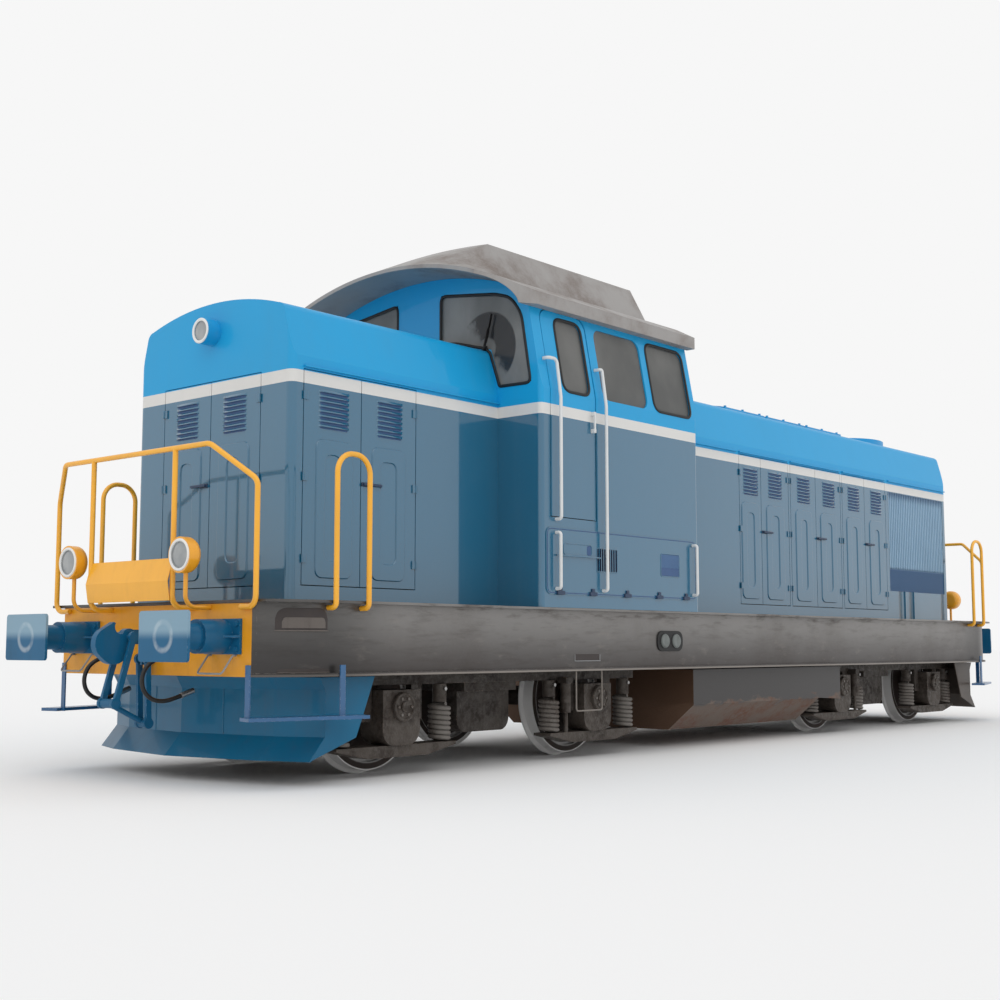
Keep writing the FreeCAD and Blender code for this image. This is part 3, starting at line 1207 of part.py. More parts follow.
def make_roof_fittings():
    edge = S.seat_gap + roof_height(S.lid_half)
    crown = hood_crown + S.seat_gap
    top = S.lid_thickness
    lids = []
    for number, (start, end) in enumerate((
            (S.lid_one_start, S.lid_one_end), (S.lid_two_start, S.lid_two_end),
            (S.lid_three_start, S.lid_three_end)), start=1):
        lid = extrude("roof_lid_%d" % number, "x", [
            (-S.lid_half, edge), (0, crown, "via"), (S.lid_half, edge), (S.lid_half, top + edge),
            (0, crown + top, "via"), (-S.lid_half, top + edge),
        ], start, end)
        parts = [lid]
        for spot, share in enumerate(LUG_SHARES):
            middle = start + (end - start) * share
            lug = box("lug_%d_%d" % (number, spot), (middle - S.lug_width / 2, middle + S.lug_width / 2),
                      (S.lid_half - S.lug_width * 2, S.lid_half - S.lug_width),
                      (top + edge, top + edge + S.lug_height))
            parts += both_sides("lug_%d_%d" % (number, spot), lug)
        lids.append(fuse("roof_lid_whole_%d" % number, parts))
    ring = cylinder("fan_ring", (S.fan_x, 0, hood_eave_height), UPRIGHT, S.fan_radius,
                    hood_crown + S.fan_height - hood_eave_height)
    seat = hood_outer("fan_seat", S.fan_x - S.fan_radius - S.overrun, S.fan_x + S.fan_radius + S.overrun,
                      S.seat_gap)
    node("roof_hatches", group("roof_hatches", lids + [cut("fan_cowl", ring, seat)]))


LUG_SHARES = (0.06, 0.5, 0.94)


def make_interior():
    play = S.cab_wall + S.seat_gap
    floor = round_plan("cab_floor", (-S.cab_front + play, -S.cab_rear - play), cab_half - play,
                       S.cab_corner, (S.cab_floor_top - S.cab_floor_thickness, S.cab_floor_top))
    desk = box("driver_desk", (-S.desk_front, -S.desk_rear), (-S.desk_half, S.desk_half),
               (S.cab_floor_top, S.desk_top))
    node("cab_interior", group("cab_interior", [floor, desk]))
    half = S.seat_size / 2
    base = box("seat_base", (-S.seat_x - half, -S.seat_x + half), (S.seat_half - half, S.seat_half + half),
               (S.seat_height - S.seat_cushion, S.seat_height))
    leg = cylinder("seat_leg", (-S.seat_x, S.seat_half, S.cab_floor_top), UPRIGHT, S.seat_cushion / 2,
                   S.seat_height - S.seat_cushion - S.cab_floor_top)
    rest = box("seat_back", (-S.seat_x + half - S.seat_cushion, -S.seat_x + half),
               (S.seat_half - half, S.seat_half + half), (S.seat_height, S.seat_back_top))
    seat = fuse("seat", [base, leg, rest])
    node("seats", group("seats", both_sides("seat", seat)))
    engine = box("engine", (S.engine_front, S.engine_rear), (-S.engine_half, S.engine_half),
                 (S.deck_top, engine_top))
    transmission = box("transmission", (-S.transmission_front, -S.transmission_rear),
                       (-S.transmission_half, S.transmission_half), (S.deck_top, S.transmission_top))
    node("engine_block", group("engine_block", [engine, transmission]))


def wheelset(number, axle_x):
    back = S.back_to_back / 2
    rim_in = S.wheel_radius - S.rim_depth
    flange = S.wheel_radius + S.flange_height
    disc = back + (S.rim_width - S.disc_thickness) / 2
    hub_in = back - S.hub_inset
    hub_out = hub_in + S.hub_length
    profile = [
        (0, hub_in), (S.hub_radius, hub_in), (S.hub_radius, disc), (rim_in, disc), (rim_in, back),
        (flange, back), (flange, back + S.flange_width / 2), (S.wheel_radius, back + S.flange_width),
        (S.wheel_radius, back + S.rim_width), (rim_in, back + S.rim_width),
        (rim_in, disc + S.disc_thickness), (S.hub_radius, disc + S.disc_thickness),
        (S.hub_radius, hub_out), (0, hub_out),
    ]
    wheel = revolve("wheel_%d" % number, profile, (axle_x, 0, axle_height), UPRIGHT)
    axle = cylinder("axle_%d" % number, (axle_x, -hub_in, axle_height), ACROSS, S.axle_radius, hub_in * 2)
    journal = cylinder("journal_%d" % number, (axle_x, hub_out, axle_height), ACROSS,
                       S.journal_radius, S.journal_end - hub_out)
    parts = [axle] + both_sides("wheel_%d" % number, wheel) + both_sides("journal_%d" % number, journal)
    node("wheelset_%d" % number, group("wheelset_%d" % number, parts))


def axle_box_outline(axle_x):
    """An axle box seen from the side: square above, and drawn in by arcs below to where its beam passes."""
    half = S.box_half_length
    top = axle_height + S.box_rise
    knee = S.spring_bottom + S.box_round
    foot = half - S.box_round
    lean = S.box_round * (1 - math.sqrt(0.5))
    return [
        (axle_x - half, top), (axle_x - half, knee),
        (axle_x - half + lean, S.spring_bottom + lean, "via"), (axle_x - foot, S.spring_bottom),
        (axle_x + foot, S.spring_bottom), (axle_x + half - lean, S.spring_bottom + lean, "via"),
        (axle_x + half, knee), (axle_x + half, top),
    ]


def suspension(end, centre):
    """Axle boxes on their spring beams, with the spring guides and dampers that rise to the side frame."""
    name = "suspension_" + end
    parts = []
    coils = []
    for number, (offset, inward) in enumerate(((-half_base, 1), (half_base, -1)), start=1):
        axle_x = centre + offset
        tag = "%s_%d" % (name, number)
        block = extrude(tag + "_box", "y", axle_box_outline(axle_x), S.box_inner, S.box_outer)
        cover = cylinder(tag + "_cover", (axle_x, S.box_outer, axle_height), ACROSS, S.box_cover_radius,
                         S.box_cover_depth)
        reach = S.spring_offset + S.spring_radius
        low = S.spring_bottom - S.seat_thickness
        beam = extrude(tag + "_spring_beam", "y", [
            (axle_x - reach, S.spring_bottom), (axle_x - reach, low),
            (axle_x - S.beam_flat_half, S.spring_bottom - S.beam_depth),
            (axle_x + S.beam_flat_half, S.spring_bottom - S.beam_depth),
            (axle_x + reach, low), (axle_x + reach, S.spring_bottom),
        ], S.spring_half - S.spring_radius, S.spring_half + S.spring_radius)
        bore = cylinder(tag + "_bore", (axle_x, S.box_inner - S.overrun, axle_height), ACROSS,
                        S.journal_radius + S.journal_play,
                        S.journal_end - S.box_inner + S.overrun + S.journal_gap)
        housing = cut(tag + "_housing", fuse(tag + "_casting", [block, beam, cover]), bore)
        parts += both_sides(tag + "_housing", housing)
        damper_x = axle_x + S.damper_offset * inward
        dampers = (("rod", S.damper_rod_radius, S.spring_bottom, S.damper_bottom),
                   ("tube", S.damper_radius, S.damper_bottom, S.damper_top))
        for label, radius, low, high in dampers if num(offset * centre) < 0 else ():
            bar = cylinder("%s_damper_%s" % (tag, label), (damper_x, S.damper_half, low), UPRIGHT,
                           radius, high - low)
            parts += both_sides("%s_damper_%s" % (tag, label), bar)
        for side, along in (("a", -S.spring_offset), ("b", S.spring_offset)):
            label = "%s_%s" % (tag, side)
            coils += both_sides(label + "_coil", cylinder(
                label + "_coil", (axle_x + along, S.spring_half, S.spring_bottom), UPRIGHT,
                S.spring_radius, S.spring_top - S.spring_bottom))
            parts += both_sides(label + "_guide", cylinder(
                label + "_guide", (axle_x + along, S.spring_half, S.spring_top), UPRIGHT,
                S.guide_radius, S.side_frame_bottom - S.spring_top))
    node(name, group(name, parts))
    node("springs_" + end, group("springs_" + end, coils))


def bogie_frame(name, centre):
    """Two side beams with horns over the axle boxes, a transom with deep ends, and two end beams."""
    reach = S.bogie_half_length
    outer = S.side_frame_outer
    beam = box(name + "_side", (centre - reach, centre + reach), (S.side_frame_inner, outer),
               (S.side_frame_bottom, S.side_frame_top))
    transom = box(name + "_transom", (centre - S.transom_half, centre + S.transom_half),
                  (-S.side_frame_inner, S.side_frame_inner), (S.transom_bottom, S.transom_top))
    bore = cylinder(name + "_bore", (centre, 0, S.transom_bottom - S.overrun), UPRIGHT,
                    S.pivot_radius + S.pivot_play, S.transom_top - S.transom_bottom + S.overrun * 2)
    half = S.casting_half
    lean = S.casting_round * (1 - math.sqrt(0.5))
    low = S.casting_bottom
    casting = extrude(name + "_casting", "y", [
        (centre - half, S.transom_top), (centre - half, low + S.casting_round),
        (centre - half + lean, low + lean, "via"), (centre - half + S.casting_round, low),
        (centre + half - S.casting_round, low), (centre + half - lean, low + lean, "via"),
        (centre + half, low + S.casting_round), (centre + half, S.transom_top),
    ], S.casting_inner, S.casting_outer)
    parts = [transom] + both_sides(name + "_side", beam) + both_sides(name + "_casting", casting)
    for number, (offset, inward) in enumerate(((-half_base, 1), (half_base, -1)), start=1):
        axle_x = centre + offset
        tag = "%s_%d" % (name, number)
        for side, near in (("low", -S.horn_offset - S.horn_width), ("high", S.horn_offset)):
            horn = box("%s_horn_%s" % (tag, side), (axle_x + near, axle_x + near + S.horn_width),
                       (outer - S.horn_sheet, outer), (S.horn_bottom, S.side_frame_bottom))
            parts += both_sides("%s_horn_%s" % (tag, side), horn)
        damper_x = axle_x + S.damper_offset * inward
        if num(offset * centre) < 0:
            bracket = box(tag + "_bracket", (damper_x - S.damper_radius, damper_x + S.damper_radius),
                          (outer, S.damper_half + S.damper_radius),
                          (S.damper_top, S.damper_top + S.bracket_depth))
            parts += both_sides(tag + "_bracket", bracket)
    for tag, spot in (("low", centre - reach), ("high", centre + reach - S.headbeam_width)):
        parts.append(box("%s_headbeam_%s" % (name, tag), (spot, spot + S.headbeam_width),
                         (-S.side_frame_inner, S.side_frame_inner), (S.headbeam_bottom, S.headbeam_top)))
    node(name, cut(name, fuse(name + "_welded", parts), bore))


def make_bogies():
    for end, centre in (("front", -pivot_x), ("rear", pivot_x)):
        bogie_frame("bogie_frame_" + end, centre)
        suspension(end, centre)
    for number, axle_x in enumerate((-pivot_x - half_base, half_base - pivot_x,
                                     pivot_x - half_base, pivot_x + half_base), start=1):
        wheelset(number, axle_x)


make_underframe()
make_buffers()
make_draw_gear()
make_brake_hoses()
make_ploughs()
make_steps()
make_grab_bars()
node("end_railings", group("end_railings", make_end_railings() + make_side_hoops()))
make_lamps()
make_tank()
make_short_hood()
make_long_hood()
make_grilles()
make_side_doors()
make_front_doors()
make_cab()
make_cab_roof()
make_lower_panels()
make_cab_handrails()
make_roof_fittings()
make_interior()
make_bogies()

doc.recompute()
for obj in doc.Objects:
    if "Invalid" in obj.State or "Error" in obj.State:
        raise RuntimeError("%s did not build" % obj.Name)
os.makedirs("parts", exist_ok=True)
for obj in NODES:
    if obj.Shape.isNull() or not obj.Shape.isValid():
        raise RuntimeError("%s has no valid shape" % obj.Label)
for obj in NODES:
    obj.Shape.exportStep("parts/%s.step" % obj.Label)
print(len(NODES), "nodes written")
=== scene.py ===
# %% [markdown]
# # A diesel shunting locomotive
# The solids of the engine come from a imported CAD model, in metres, with its wheels' flanges on z = 0,
# the short hood towards -X and the side that the picture shows towards -Y.
# This notebook gives those solids their paint, rust and glass, and adds what is too small for the CAD:
# louvres, pressed door panels, window rubbers, bolts, coil springs and the like.

import math

import bmesh
import bpy
import mathutils
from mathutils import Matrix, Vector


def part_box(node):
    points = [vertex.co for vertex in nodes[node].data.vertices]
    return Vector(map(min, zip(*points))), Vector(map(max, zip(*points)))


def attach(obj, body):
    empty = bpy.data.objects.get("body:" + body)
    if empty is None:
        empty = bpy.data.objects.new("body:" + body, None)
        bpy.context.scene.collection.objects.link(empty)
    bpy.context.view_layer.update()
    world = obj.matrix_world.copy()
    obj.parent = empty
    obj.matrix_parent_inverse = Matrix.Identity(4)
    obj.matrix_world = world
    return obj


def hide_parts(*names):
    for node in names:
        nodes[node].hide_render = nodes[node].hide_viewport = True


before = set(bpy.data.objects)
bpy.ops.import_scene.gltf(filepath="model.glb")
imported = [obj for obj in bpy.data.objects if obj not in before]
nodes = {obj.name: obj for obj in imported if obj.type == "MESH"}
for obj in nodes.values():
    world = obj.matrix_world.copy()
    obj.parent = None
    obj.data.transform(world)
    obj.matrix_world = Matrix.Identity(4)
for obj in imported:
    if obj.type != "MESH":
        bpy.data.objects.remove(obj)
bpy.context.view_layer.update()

# %% [markdown]
# ## The camera
# The photograph was taken from low down in front of the short hood, about a metre above the rails,
# and looks up a little. Its place was found from the engine's known sizes, so a real lens
# and a real sensor repeat it, with no shift and no depth of field.

# %% The camera
CAMERA_PLACE = (-12.529, -8.847, 0.999)
CAMERA_TURN = math.radians(40.982)
CAMERA_TILT = math.radians(5.964)
SENSOR = 36.0
LENS = 50.145

camera_data = bpy.data.cameras.new("picture_camera")
camera_data.sensor_fit = "HORIZONTAL"
camera_data.sensor_width = SENSOR
camera_data.lens = LENS
camera_data.clip_end = 400.0
camera = bpy.data.objects.new("picture_camera", camera_data)
camera.location = CAMERA_PLACE
camera.rotation_euler = (math.radians(90.0) + CAMERA_TILT, 0.0, CAMERA_TURN - math.radians(90.0))
bpy.context.scene.collection.objects.link(camera)
bpy.context.scene.camera = camera
print("camera turn and tilt:", round(math.degrees(CAMERA_TURN), 2), round(math.degrees(CAMERA_TILT), 2))

# %% [markdown]
# ## Building a material
# Every finish here is a node tree: a Principled shader, fed by masks that say where dirt, rust or bare
# metal lies. Two small helpers keep the trees short to read: one makes a material with its shader,
# the other adds a node, fills its sockets by name and returns it.

# %% Helpers for node trees
MIX_FIRST = 6
MIX_SECOND = 7
MIX_RESULT = 2


def feed(tree, socket, value):
    """An input socket filled: by a link from another socket, or with a plain value."""
    if isinstance(value, bpy.types.NodeSocket):
        tree.links.new(value, socket)
    else:
        socket.default_value = value


def fill(tree, node, **sockets):
    """Several inputs of one node filled, each given as Socket_Name=value or socket."""
    for name, value in sockets.items():
        feed(tree, node.inputs[name.replace("_", " ")], value)


def add_node(tree, kind, values=None, **settings):
    """A new node with its settings made and its input sockets filled, by name or by number."""
    made = tree.nodes.new(kind)
    for name, value in settings.items():
        setattr(made, name, value)
    for name, value in (values or {}).items():
        feed(tree, made.inputs[name], value)
    return made


def colour(red, green, blue):
    """A paint chip's 0 to 255 values as the linear colour that a shader wants."""
    chips = [chip / 255.0 for chip in (red, green, blue)]
    linear = [chip / 12.92 if chip <= 0.04045 else ((chip + 0.055) / 1.055) ** 2.4 for chip in chips]
    return (*linear, 1.0)


def new_finish(name, **sockets):
    """A material, its tree, and its Principled shader with the plain values given as Socket_Name=value."""
    made = bpy.data.materials.new(name)
    made.use_nodes = True
    shader = made.node_tree.nodes["Principled BSDF"]
    fill(made.node_tree, shader, **sockets)
    return made, made.node_tree, shader


def mixed(tree, mask, first, second):
    """A colour that goes from first to second where the mask goes from 0 to 1."""
    mix = add_node(tree, "ShaderNodeMix", data_type="RGBA")
    feed(tree, mix.inputs["Factor"], mask)
    feed(tree, mix.inputs[MIX_FIRST], first)
    feed(tree, mix.inputs[MIX_SECOND], second)
    return mix.outputs[MIX_RESULT]


def ramp(tree, value, low, high, start=0.0, end=1.0):
    """A value mapped from low..high to start..end and held there."""
    mapped = add_node(tree, "ShaderNodeMapRange", interpolation_type="SMOOTHSTEP",
                      values={"Value": value, "From Min": low, "From Max": high,
                              "To Min": start, "To Max": end})
    return mapped.outputs["Result"]


def arithmetic(tree, operation, first, second):
    """One Math node on two values or sockets."""
    return add_node(tree, "ShaderNodeMath", {0: first, 1: second}, operation=operation).outputs[0]


def size_of(tree, value):
    """A value without its sign."""
    return arithmetic(tree, "ABSOLUTE", value, 0.0)


def above(tree, value, limit):
    """A mask that is one where the value is over the limit."""
    return arithmetic(tree, "GREATER_THAN", value, limit)


def below(tree, value, limit):
    """A mask that is one where the value is under the limit."""
    return arithmetic(tree, "LESS_THAN", value, limit)


def times(tree, first, *others):
    """Masks and shares multiplied, so that the result is one only where all of them are."""
    for other in others:
        first = arithmetic(tree, "MULTIPLY", first, other)
    return first


def distance(tree, across, up):
    """How far a point lies from the middle of a circle, from its two offsets."""
    offset = add_node(tree, "ShaderNodeCombineXYZ", {"X": across, "Y": up}).outputs["Vector"]
    return add_node(tree, "ShaderNodeVectorMath", {0: offset}, operation="LENGTH").outputs["Value"]


def noise(tree, place, scale, detail=4.0, roughness=0.55):
    """A fractal noise at a place."""
    made = add_node(tree, "ShaderNodeTexNoise",
                    {"Vector": place, "Scale": scale, "Detail": detail, "Roughness": roughness})
    return made.outputs["Fac"]


def on_object(tree, stretch=(1.0, 1.0, 1.0)):
    """The object's own coordinates, stretched."""
    coordinates = tree.nodes.new("ShaderNodeTexCoord")
    mapping = add_node(tree, "ShaderNodeMapping", {"Vector": coordinates.outputs["Object"], "Scale": stretch})
    return mapping.outputs["Vector"]


def spot_parts(tree):
    """The X, Y and Z of the object's own coordinates."""
    return add_node(tree, "ShaderNodeSeparateXYZ", {"Vector": on_object(tree)}).outputs


def facing_parts(tree):
    """The X, Y and Z of the way that the surface faces."""
    surface = tree.nodes.new("ShaderNodeNewGeometry")
    return add_node(tree, "ShaderNodeSeparateXYZ", {"Vector": surface.outputs["True Normal"]}).outputs


def bump(tree, shader, height, distance_out, strength, edges=None):
    """Relief on a shader's surface, over the rounded edges' normal where a group gives one."""
    relief = add_node(tree, "ShaderNodeBump",
                      {"Height": height, "Distance": distance_out, "Strength": strength})
    if edges:
        tree.links.new(edges.outputs["Normal"], relief.inputs["Normal"])
    tree.links.new(relief.outputs["Normal"], shader.inputs["Normal"])


def new_group(name, inputs, outputs):
    """An empty shader group. Inputs are name: default and outputs are name: kind."""
    tree = bpy.data.node_groups.new(name, "ShaderNodeTree")
    for socket, default in inputs.items():
        kind = "NodeSocketColor" if isinstance(default, tuple) else "NodeSocketFloat"
        made = tree.interface.new_socket(socket, in_out="INPUT", socket_type=kind)
        made.default_value = default
    for socket, kind in outputs.items():
        tree.interface.new_socket(socket, in_out="OUTPUT", socket_type=kind)
    return tree, tree.nodes.new("NodeGroupInput"), tree.nodes.new("NodeGroupOutput")


def use_group(tree, group, **values):
    """A group placed in a tree. Its inputs are given as Input_Name=value or socket."""
    placed = tree.nodes.new("ShaderNodeGroup")
    placed.node_tree = group
    fill(tree, placed, **values)
    return placed


# %% [markdown]
# ## Brake hoses
# Four air hoses hang on the headstocks, two at each end. A hose is a cord: it has a real length,
# leaves its cock pointing outwards, drops under its own weight and comes back under the beam.
# A NURBS curve led by a few listed points gives the even bend that rubber takes.

# %% Brake hoses
HOSE_ROUTE = [
    (6.390, 0.360, 0.915), (6.468, 0.360, 0.915), (6.560, 0.361, 0.893), (6.632, 0.363, 0.835),
    (6.660, 0.366, 0.752), (6.640, 0.370, 0.670), (6.576, 0.375, 0.614), (6.494, 0.381, 0.598),
    (6.412, 0.388, 0.610), (6.336, 0.394, 0.636),
]
HOSE_RADIUS = 0.016
HOSE_BLACK = colour(14, 14, 15)
HOSE_DUST = colour(30, 29, 29)


def hose_points(end, side):
    """The route at one end (-1 or 1) and one side (-1 or 1)."""
    return [(end * x, side * y, z) for x, y, z in HOSE_ROUTE]


def nurbs_tube(name, points, radius):
    """A curve object whose one NURBS spline follows the points, with a round section."""
    curve = bpy.data.curves.new(name, "CURVE")
    curve.dimensions = "3D"
    curve.bevel_depth = radius
    curve.bevel_resolution = 6
    curve.resolution_u = 12
    curve.use_fill_caps = True
    spline = curve.splines.new("NURBS")
    spline.points.add(len(points) - 1)
    for point, place in zip(spline.points, points):
        point.co = (*place, 1.0)
    spline.order_u = 3
    spline.use_endpoint_u = True
    made = bpy.data.objects.new(name, curve)
    bpy.context.scene.collection.objects.link(made)
    return made


hose_rubber, tree, shader = new_finish("hose_rubber", Roughness=0.45)
hose_dust = ramp(tree, noise(tree, on_object(tree), 30.0), 0.45, 0.75)
fill(tree, shader, Base_Color=mixed(tree, hose_dust, HOSE_BLACK, HOSE_DUST))

hoses = []
for number, (end, side) in enumerate([(-1, -1), (-1, 1), (1, -1), (1, 1)], start=1):
    route = hose_points(end, side)
    hose = nurbs_tube(f"air_hose_{number}", route, HOSE_RADIUS)
    hose.data.materials.append(hose_rubber)
    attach(hose, "frame")
    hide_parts(f"brake_hose_{number}")
    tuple(route[0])
    hoses.append(hose)
print("hoses:", len(hoses))

# %% [markdown]
# ## Shared effects
# Dirt, worn edges and rust are on nearly every finish, so each is a shader group made once.
# Grime gathers in soft blotches and in streaks that run down, and it thickens towards a level
# near the ground. Worn edges are found by comparing the true normal with one that is rounded over
# a few millimetres: the two differ only next to an edge.

# %% Shader group: grime
grime, given, result = new_group(
    "grime",
    {"Clean": (0.5, 0.5, 0.5, 1.0), "Dirt": (0.2, 0.17, 0.14, 1.0), "Amount": 0.3,
     "Patch Size": 1.5, "Streaks": 0.5, "Low": 0.0, "High": 1.0},
    {"Colour": "NodeSocketColor", "Mask": "NodeSocketFloat"})
given = given.outputs
place = on_object(grime)
blotches = ramp(grime, noise(grime, place, given["Patch Size"], detail=7.0, roughness=0.62), 0.42, 0.72)
runs = noise(grime, on_object(grime, (9.0, 9.0, 0.55)), given["Patch Size"], detail=3.0)
drips = ramp(grime, runs, 0.48, 0.78)
specks = ramp(grime, noise(grime, place, 46.0, detail=2.0), 0.25, 0.6, 0.7, 1.0)
settled = add_node(grime, "ShaderNodeMapRange", {"Value": spot_parts(grime)["Z"], "From Min": given["High"],
                                                 "From Max": given["Low"]}).outputs["Result"]
spread = arithmetic(grime, "ADD", blotches, times(grime, drips, given["Streaks"]))
spread = arithmetic(grime, "ADD", spread, times(grime, settled, 0.55))
mask = add_node(grime, "ShaderNodeMath", {0: times(grime, spread, specks), 1: given["Amount"]},
                operation="MULTIPLY", use_clamp=True).outputs[0]
fill(grime, result, Colour=mixed(grime, mask, given["Clean"], given["Dirt"]), Mask=mask)
print("grime nodes:", len(grime.nodes))

# %% Shader group: worn edges
worn_edges, given, result = new_group(
    "worn_edges", {"Reach": 0.006, "Amount": 0.6}, {"Mask": "NodeSocketFloat", "Normal": "NodeSocketVector"})
given = given.outputs
rounded = add_node(worn_edges, "ShaderNodeBevel", {"Radius": given["Reach"]}, samples=4).outputs["Normal"]
true_normal = worn_edges.nodes.new("ShaderNodeNewGeometry").outputs["Normal"]
likeness = add_node(worn_edges, "ShaderNodeVectorMath", {0: rounded, 1: true_normal}, operation="DOT_PRODUCT")
near_edge = ramp(worn_edges, likeness.outputs["Value"], 0.985, 0.82)
chipped = ramp(worn_edges, noise(worn_edges, on_object(worn_edges), 38.0, detail=5.0), 0.5, 0.62)
fill(worn_edges, result, Mask=times(worn_edges, near_edge, chipped, given["Amount"]), Normal=rounded)
print("worn edge nodes:", len(worn_edges.nodes))

# %% Shader group: casting skin and rust scale
scale_skin, given, result = new_group(
    "scale_skin", {"Grain": 60.0, "Rust": (0.12, 0.05, 0.025, 1.0), "Metal": (0.09, 0.08, 0.075, 1.0)},
    {"Colour": "NodeSocketColor", "Height": "NodeSocketFloat", "Roughness": "NodeSocketFloat"})
given = given.outputs
place = on_object(scale_skin)
fine = noise(scale_skin, place, given["Grain"], detail=6.0, roughness=0.7)
broad = noise(scale_skin, place, 3.2, detail=6.0, roughness=0.65)
pits = add_node(scale_skin, "ShaderNodeTexVoronoi", {"Vector": place, "Scale": 45.0}).outputs["Distance"]
rusted = times(scale_skin, ramp(scale_skin, broad, 0.4, 0.66), ramp(scale_skin, fine, 0.3, 0.6))
fill(scale_skin, result,
     Colour=mixed(scale_skin, rusted, given["Metal"], given["Rust"]),
     Height=arithmetic(scale_skin, "ADD", fine, times(scale_skin, pits, 0.4)),
     Roughness=ramp(scale_skin, fine, 0.3, 0.7, 0.36, 0.8))
print("scale nodes:", len(scale_skin.nodes))

# %% [markdown]
# ## Body paint
# The hoods, their doors and the cab are painted in two blues with a white stripe between them, and
# the stripe runs level round the whole engine. So one material can paint them all: it picks the coat
# by height above the floor. The lower coat is a hard gloss, the upper one is flatter.

# %% Body paint
STRIPE_LOW = 2.965
STRIPE_HIGH = 3.060
SKY_BLUE = colour(10, 160, 218)
TEAL = colour(8, 96, 130)
STRIPE_WHITE = colour(222, 221, 218)
DUST = colour(112, 130, 142)
PALE_EDGE = colour(120, 140, 152)
VARNISH_ROUGHNESS = 0.05
VARNISH_IOR = 1.8
UPPER_VARNISH = 0.15
UPPER_ROUGHNESS = 0.45
LOWER_ROUGHNESS = 0.3

body_paint, tree, shader = new_finish("body_paint", Coat_Roughness=VARNISH_ROUGHNESS, Coat_IOR=VARNISH_IOR,
                                      Specular_IOR_Level=0.3)
height = spot_parts(tree)["Z"]
under_stripe = below(tree, height, STRIPE_LOW)
coats = mixed(tree, above(tree, height, STRIPE_HIGH), STRIPE_WHITE, SKY_BLUE)
coats = mixed(tree, under_stripe, coats, TEAL)
dusty = use_group(tree, grime, Clean=coats, Dirt=DUST, Amount=0.07, Patch_Size=0.7, Streaks=0.5,
                  Low=1.3, High=1.9)
edges = use_group(tree, worn_edges, Reach=0.004, Amount=0.15)
roughness = ramp(tree, under_stripe, 0.0, 1.0, UPPER_ROUGHNESS, LOWER_ROUGHNESS)
varnish = ramp(tree, under_stripe, 0.0, 1.0, UPPER_VARNISH, 1.0)
fill(tree, shader,
     Base_Color=mixed(tree, edges.outputs["Mask"], dusty.outputs["Colour"], PALE_EDGE),
     Coat_Weight=times(tree, varnish, arithmetic(tree, "SUBTRACT", 1.0, dusty.outputs["Mask"])),
     Roughness=arithmetic(tree, "ADD", roughness, dusty.outputs["Mask"]))
bump(tree, shader, noise(tree, on_object(tree), 1.4, detail=2.0), 0.012, 0.3, edges)
print("body paint nodes:", len(tree.nodes))

# %% [markdown]
# ## Plain painted parts
# Rails, buffers, steps and sills carry one colour each. They differ only in the colour, the gloss and
# in how much dirt and bare metal shows, so a function makes them from those values. On buffers and steps
# the pale edges are bare metal, partly painted as a highlight.

# %% Plain paints
ORANGE_DIRT = colour(176, 112, 36)
BARE_METAL = colour(120, 112, 104)


def make_paint(name, coat, dirt, dirty, worn, worn_and_lit_edge=BARE_METAL, gloss=0.35, patch=2.0, low=0.0, high=1.2,
               streaks=0.6, varnish=0.0, upper=None, grain=0.35, shine=0.5):
    """One colour of paint with dirt, chipped edges and a fine texture. Above the stripe it may be another. On
    some paints the edges' colour is partly a painted highlight.
    """
    paint, tree, shader = new_finish(name, Specular_IOR_Level=shine, Coat_Weight=varnish,
                                     Coat_Roughness=VARNISH_ROUGHNESS, Coat_IOR=VARNISH_IOR)
    if upper:
        coat = mixed(tree, above(tree, spot_parts(tree)["Z"], STRIPE_HIGH), coat, upper)
    film = use_group(tree, grime, Clean=coat, Dirt=dirt, Amount=dirty, Patch_Size=patch,
                     Streaks=streaks, Low=low, High=high)
    edges = use_group(tree, worn_edges, Reach=0.005, Amount=worn)
    fill(tree, shader,
         Base_Color=mixed(tree, edges.outputs["Mask"], film.outputs["Colour"], worn_and_lit_edge),
         Roughness=ramp(tree, film.outputs["Mask"], 0.0, 1.0, gloss, min(gloss + 0.4, 0.95)))
    bump(tree, shader, noise(tree, on_object(tree), 70.0, detail=3.0), 0.0012, grain, edges)
    return paint


rail_yellow = make_paint("rail_yellow", colour(250, 180, 42), ORANGE_DIRT, dirty=0.14, worn=0.3,
                         gloss=0.3, low=1.2, high=1.4, varnish=0.2, grain=0.08)
lamp_paint = make_paint("lamp_paint", colour(246, 172, 40), ORANGE_DIRT, dirty=0.12, worn=0.3,
                        gloss=0.3, low=1.2, high=1.4, varnish=0.2, upper=SKY_BLUE, grain=0.08)
# Worn edges, partly a painted highlight: the buffers' edges are a pale blue that stands for light on them.
buffer_blue = make_paint("buffer_blue", colour(18, 94, 134), colour(30, 62, 80), dirty=0.2, worn=1.0,
                         worn_and_lit_edge=colour(140, 172, 196), low=0.4, high=0.7, varnish=0.1, grain=0.05, shine=0.2)
# Worn edges, partly a painted highlight: the steps' edges are a pale blue that stands for light on them.
step_blue = make_paint("step_blue", colour(34, 96, 146), colour(60, 74, 88), dirty=0.22, worn=0.9,
                       worn_and_lit_edge=colour(170, 184, 214), gloss=0.3, varnish=0.2, grain=0.1)
plough_blue = make_paint("plough_blue", colour(18, 104, 142), colour(70, 84, 98), dirty=0.22, worn=0.5,
                         high=0.35, varnish=0.08, grain=0.04, shine=0.2)
grille_paint = make_paint("grille_paint", colour(160, 190, 212), colour(100, 132, 164), dirty=0.12, worn=0.1,
                          gloss=0.5, low=1.0, high=1.3, grain=0.05, shine=0.25)
grille_fin = make_paint("grille_fin", colour(96, 132, 172), colour(80, 104, 134), dirty=0.2, worn=0.0,
                        gloss=0.5)
rail_white = make_paint("rail_white", colour(224, 226, 226), colour(150, 150, 148), dirty=0.15, worn=0.2,
                        gloss=0.25)
lamp_white = make_paint("lamp_white", colour(236, 236, 234), colour(170, 168, 164), dirty=0.1, worn=0.1,
                        gloss=0.15)
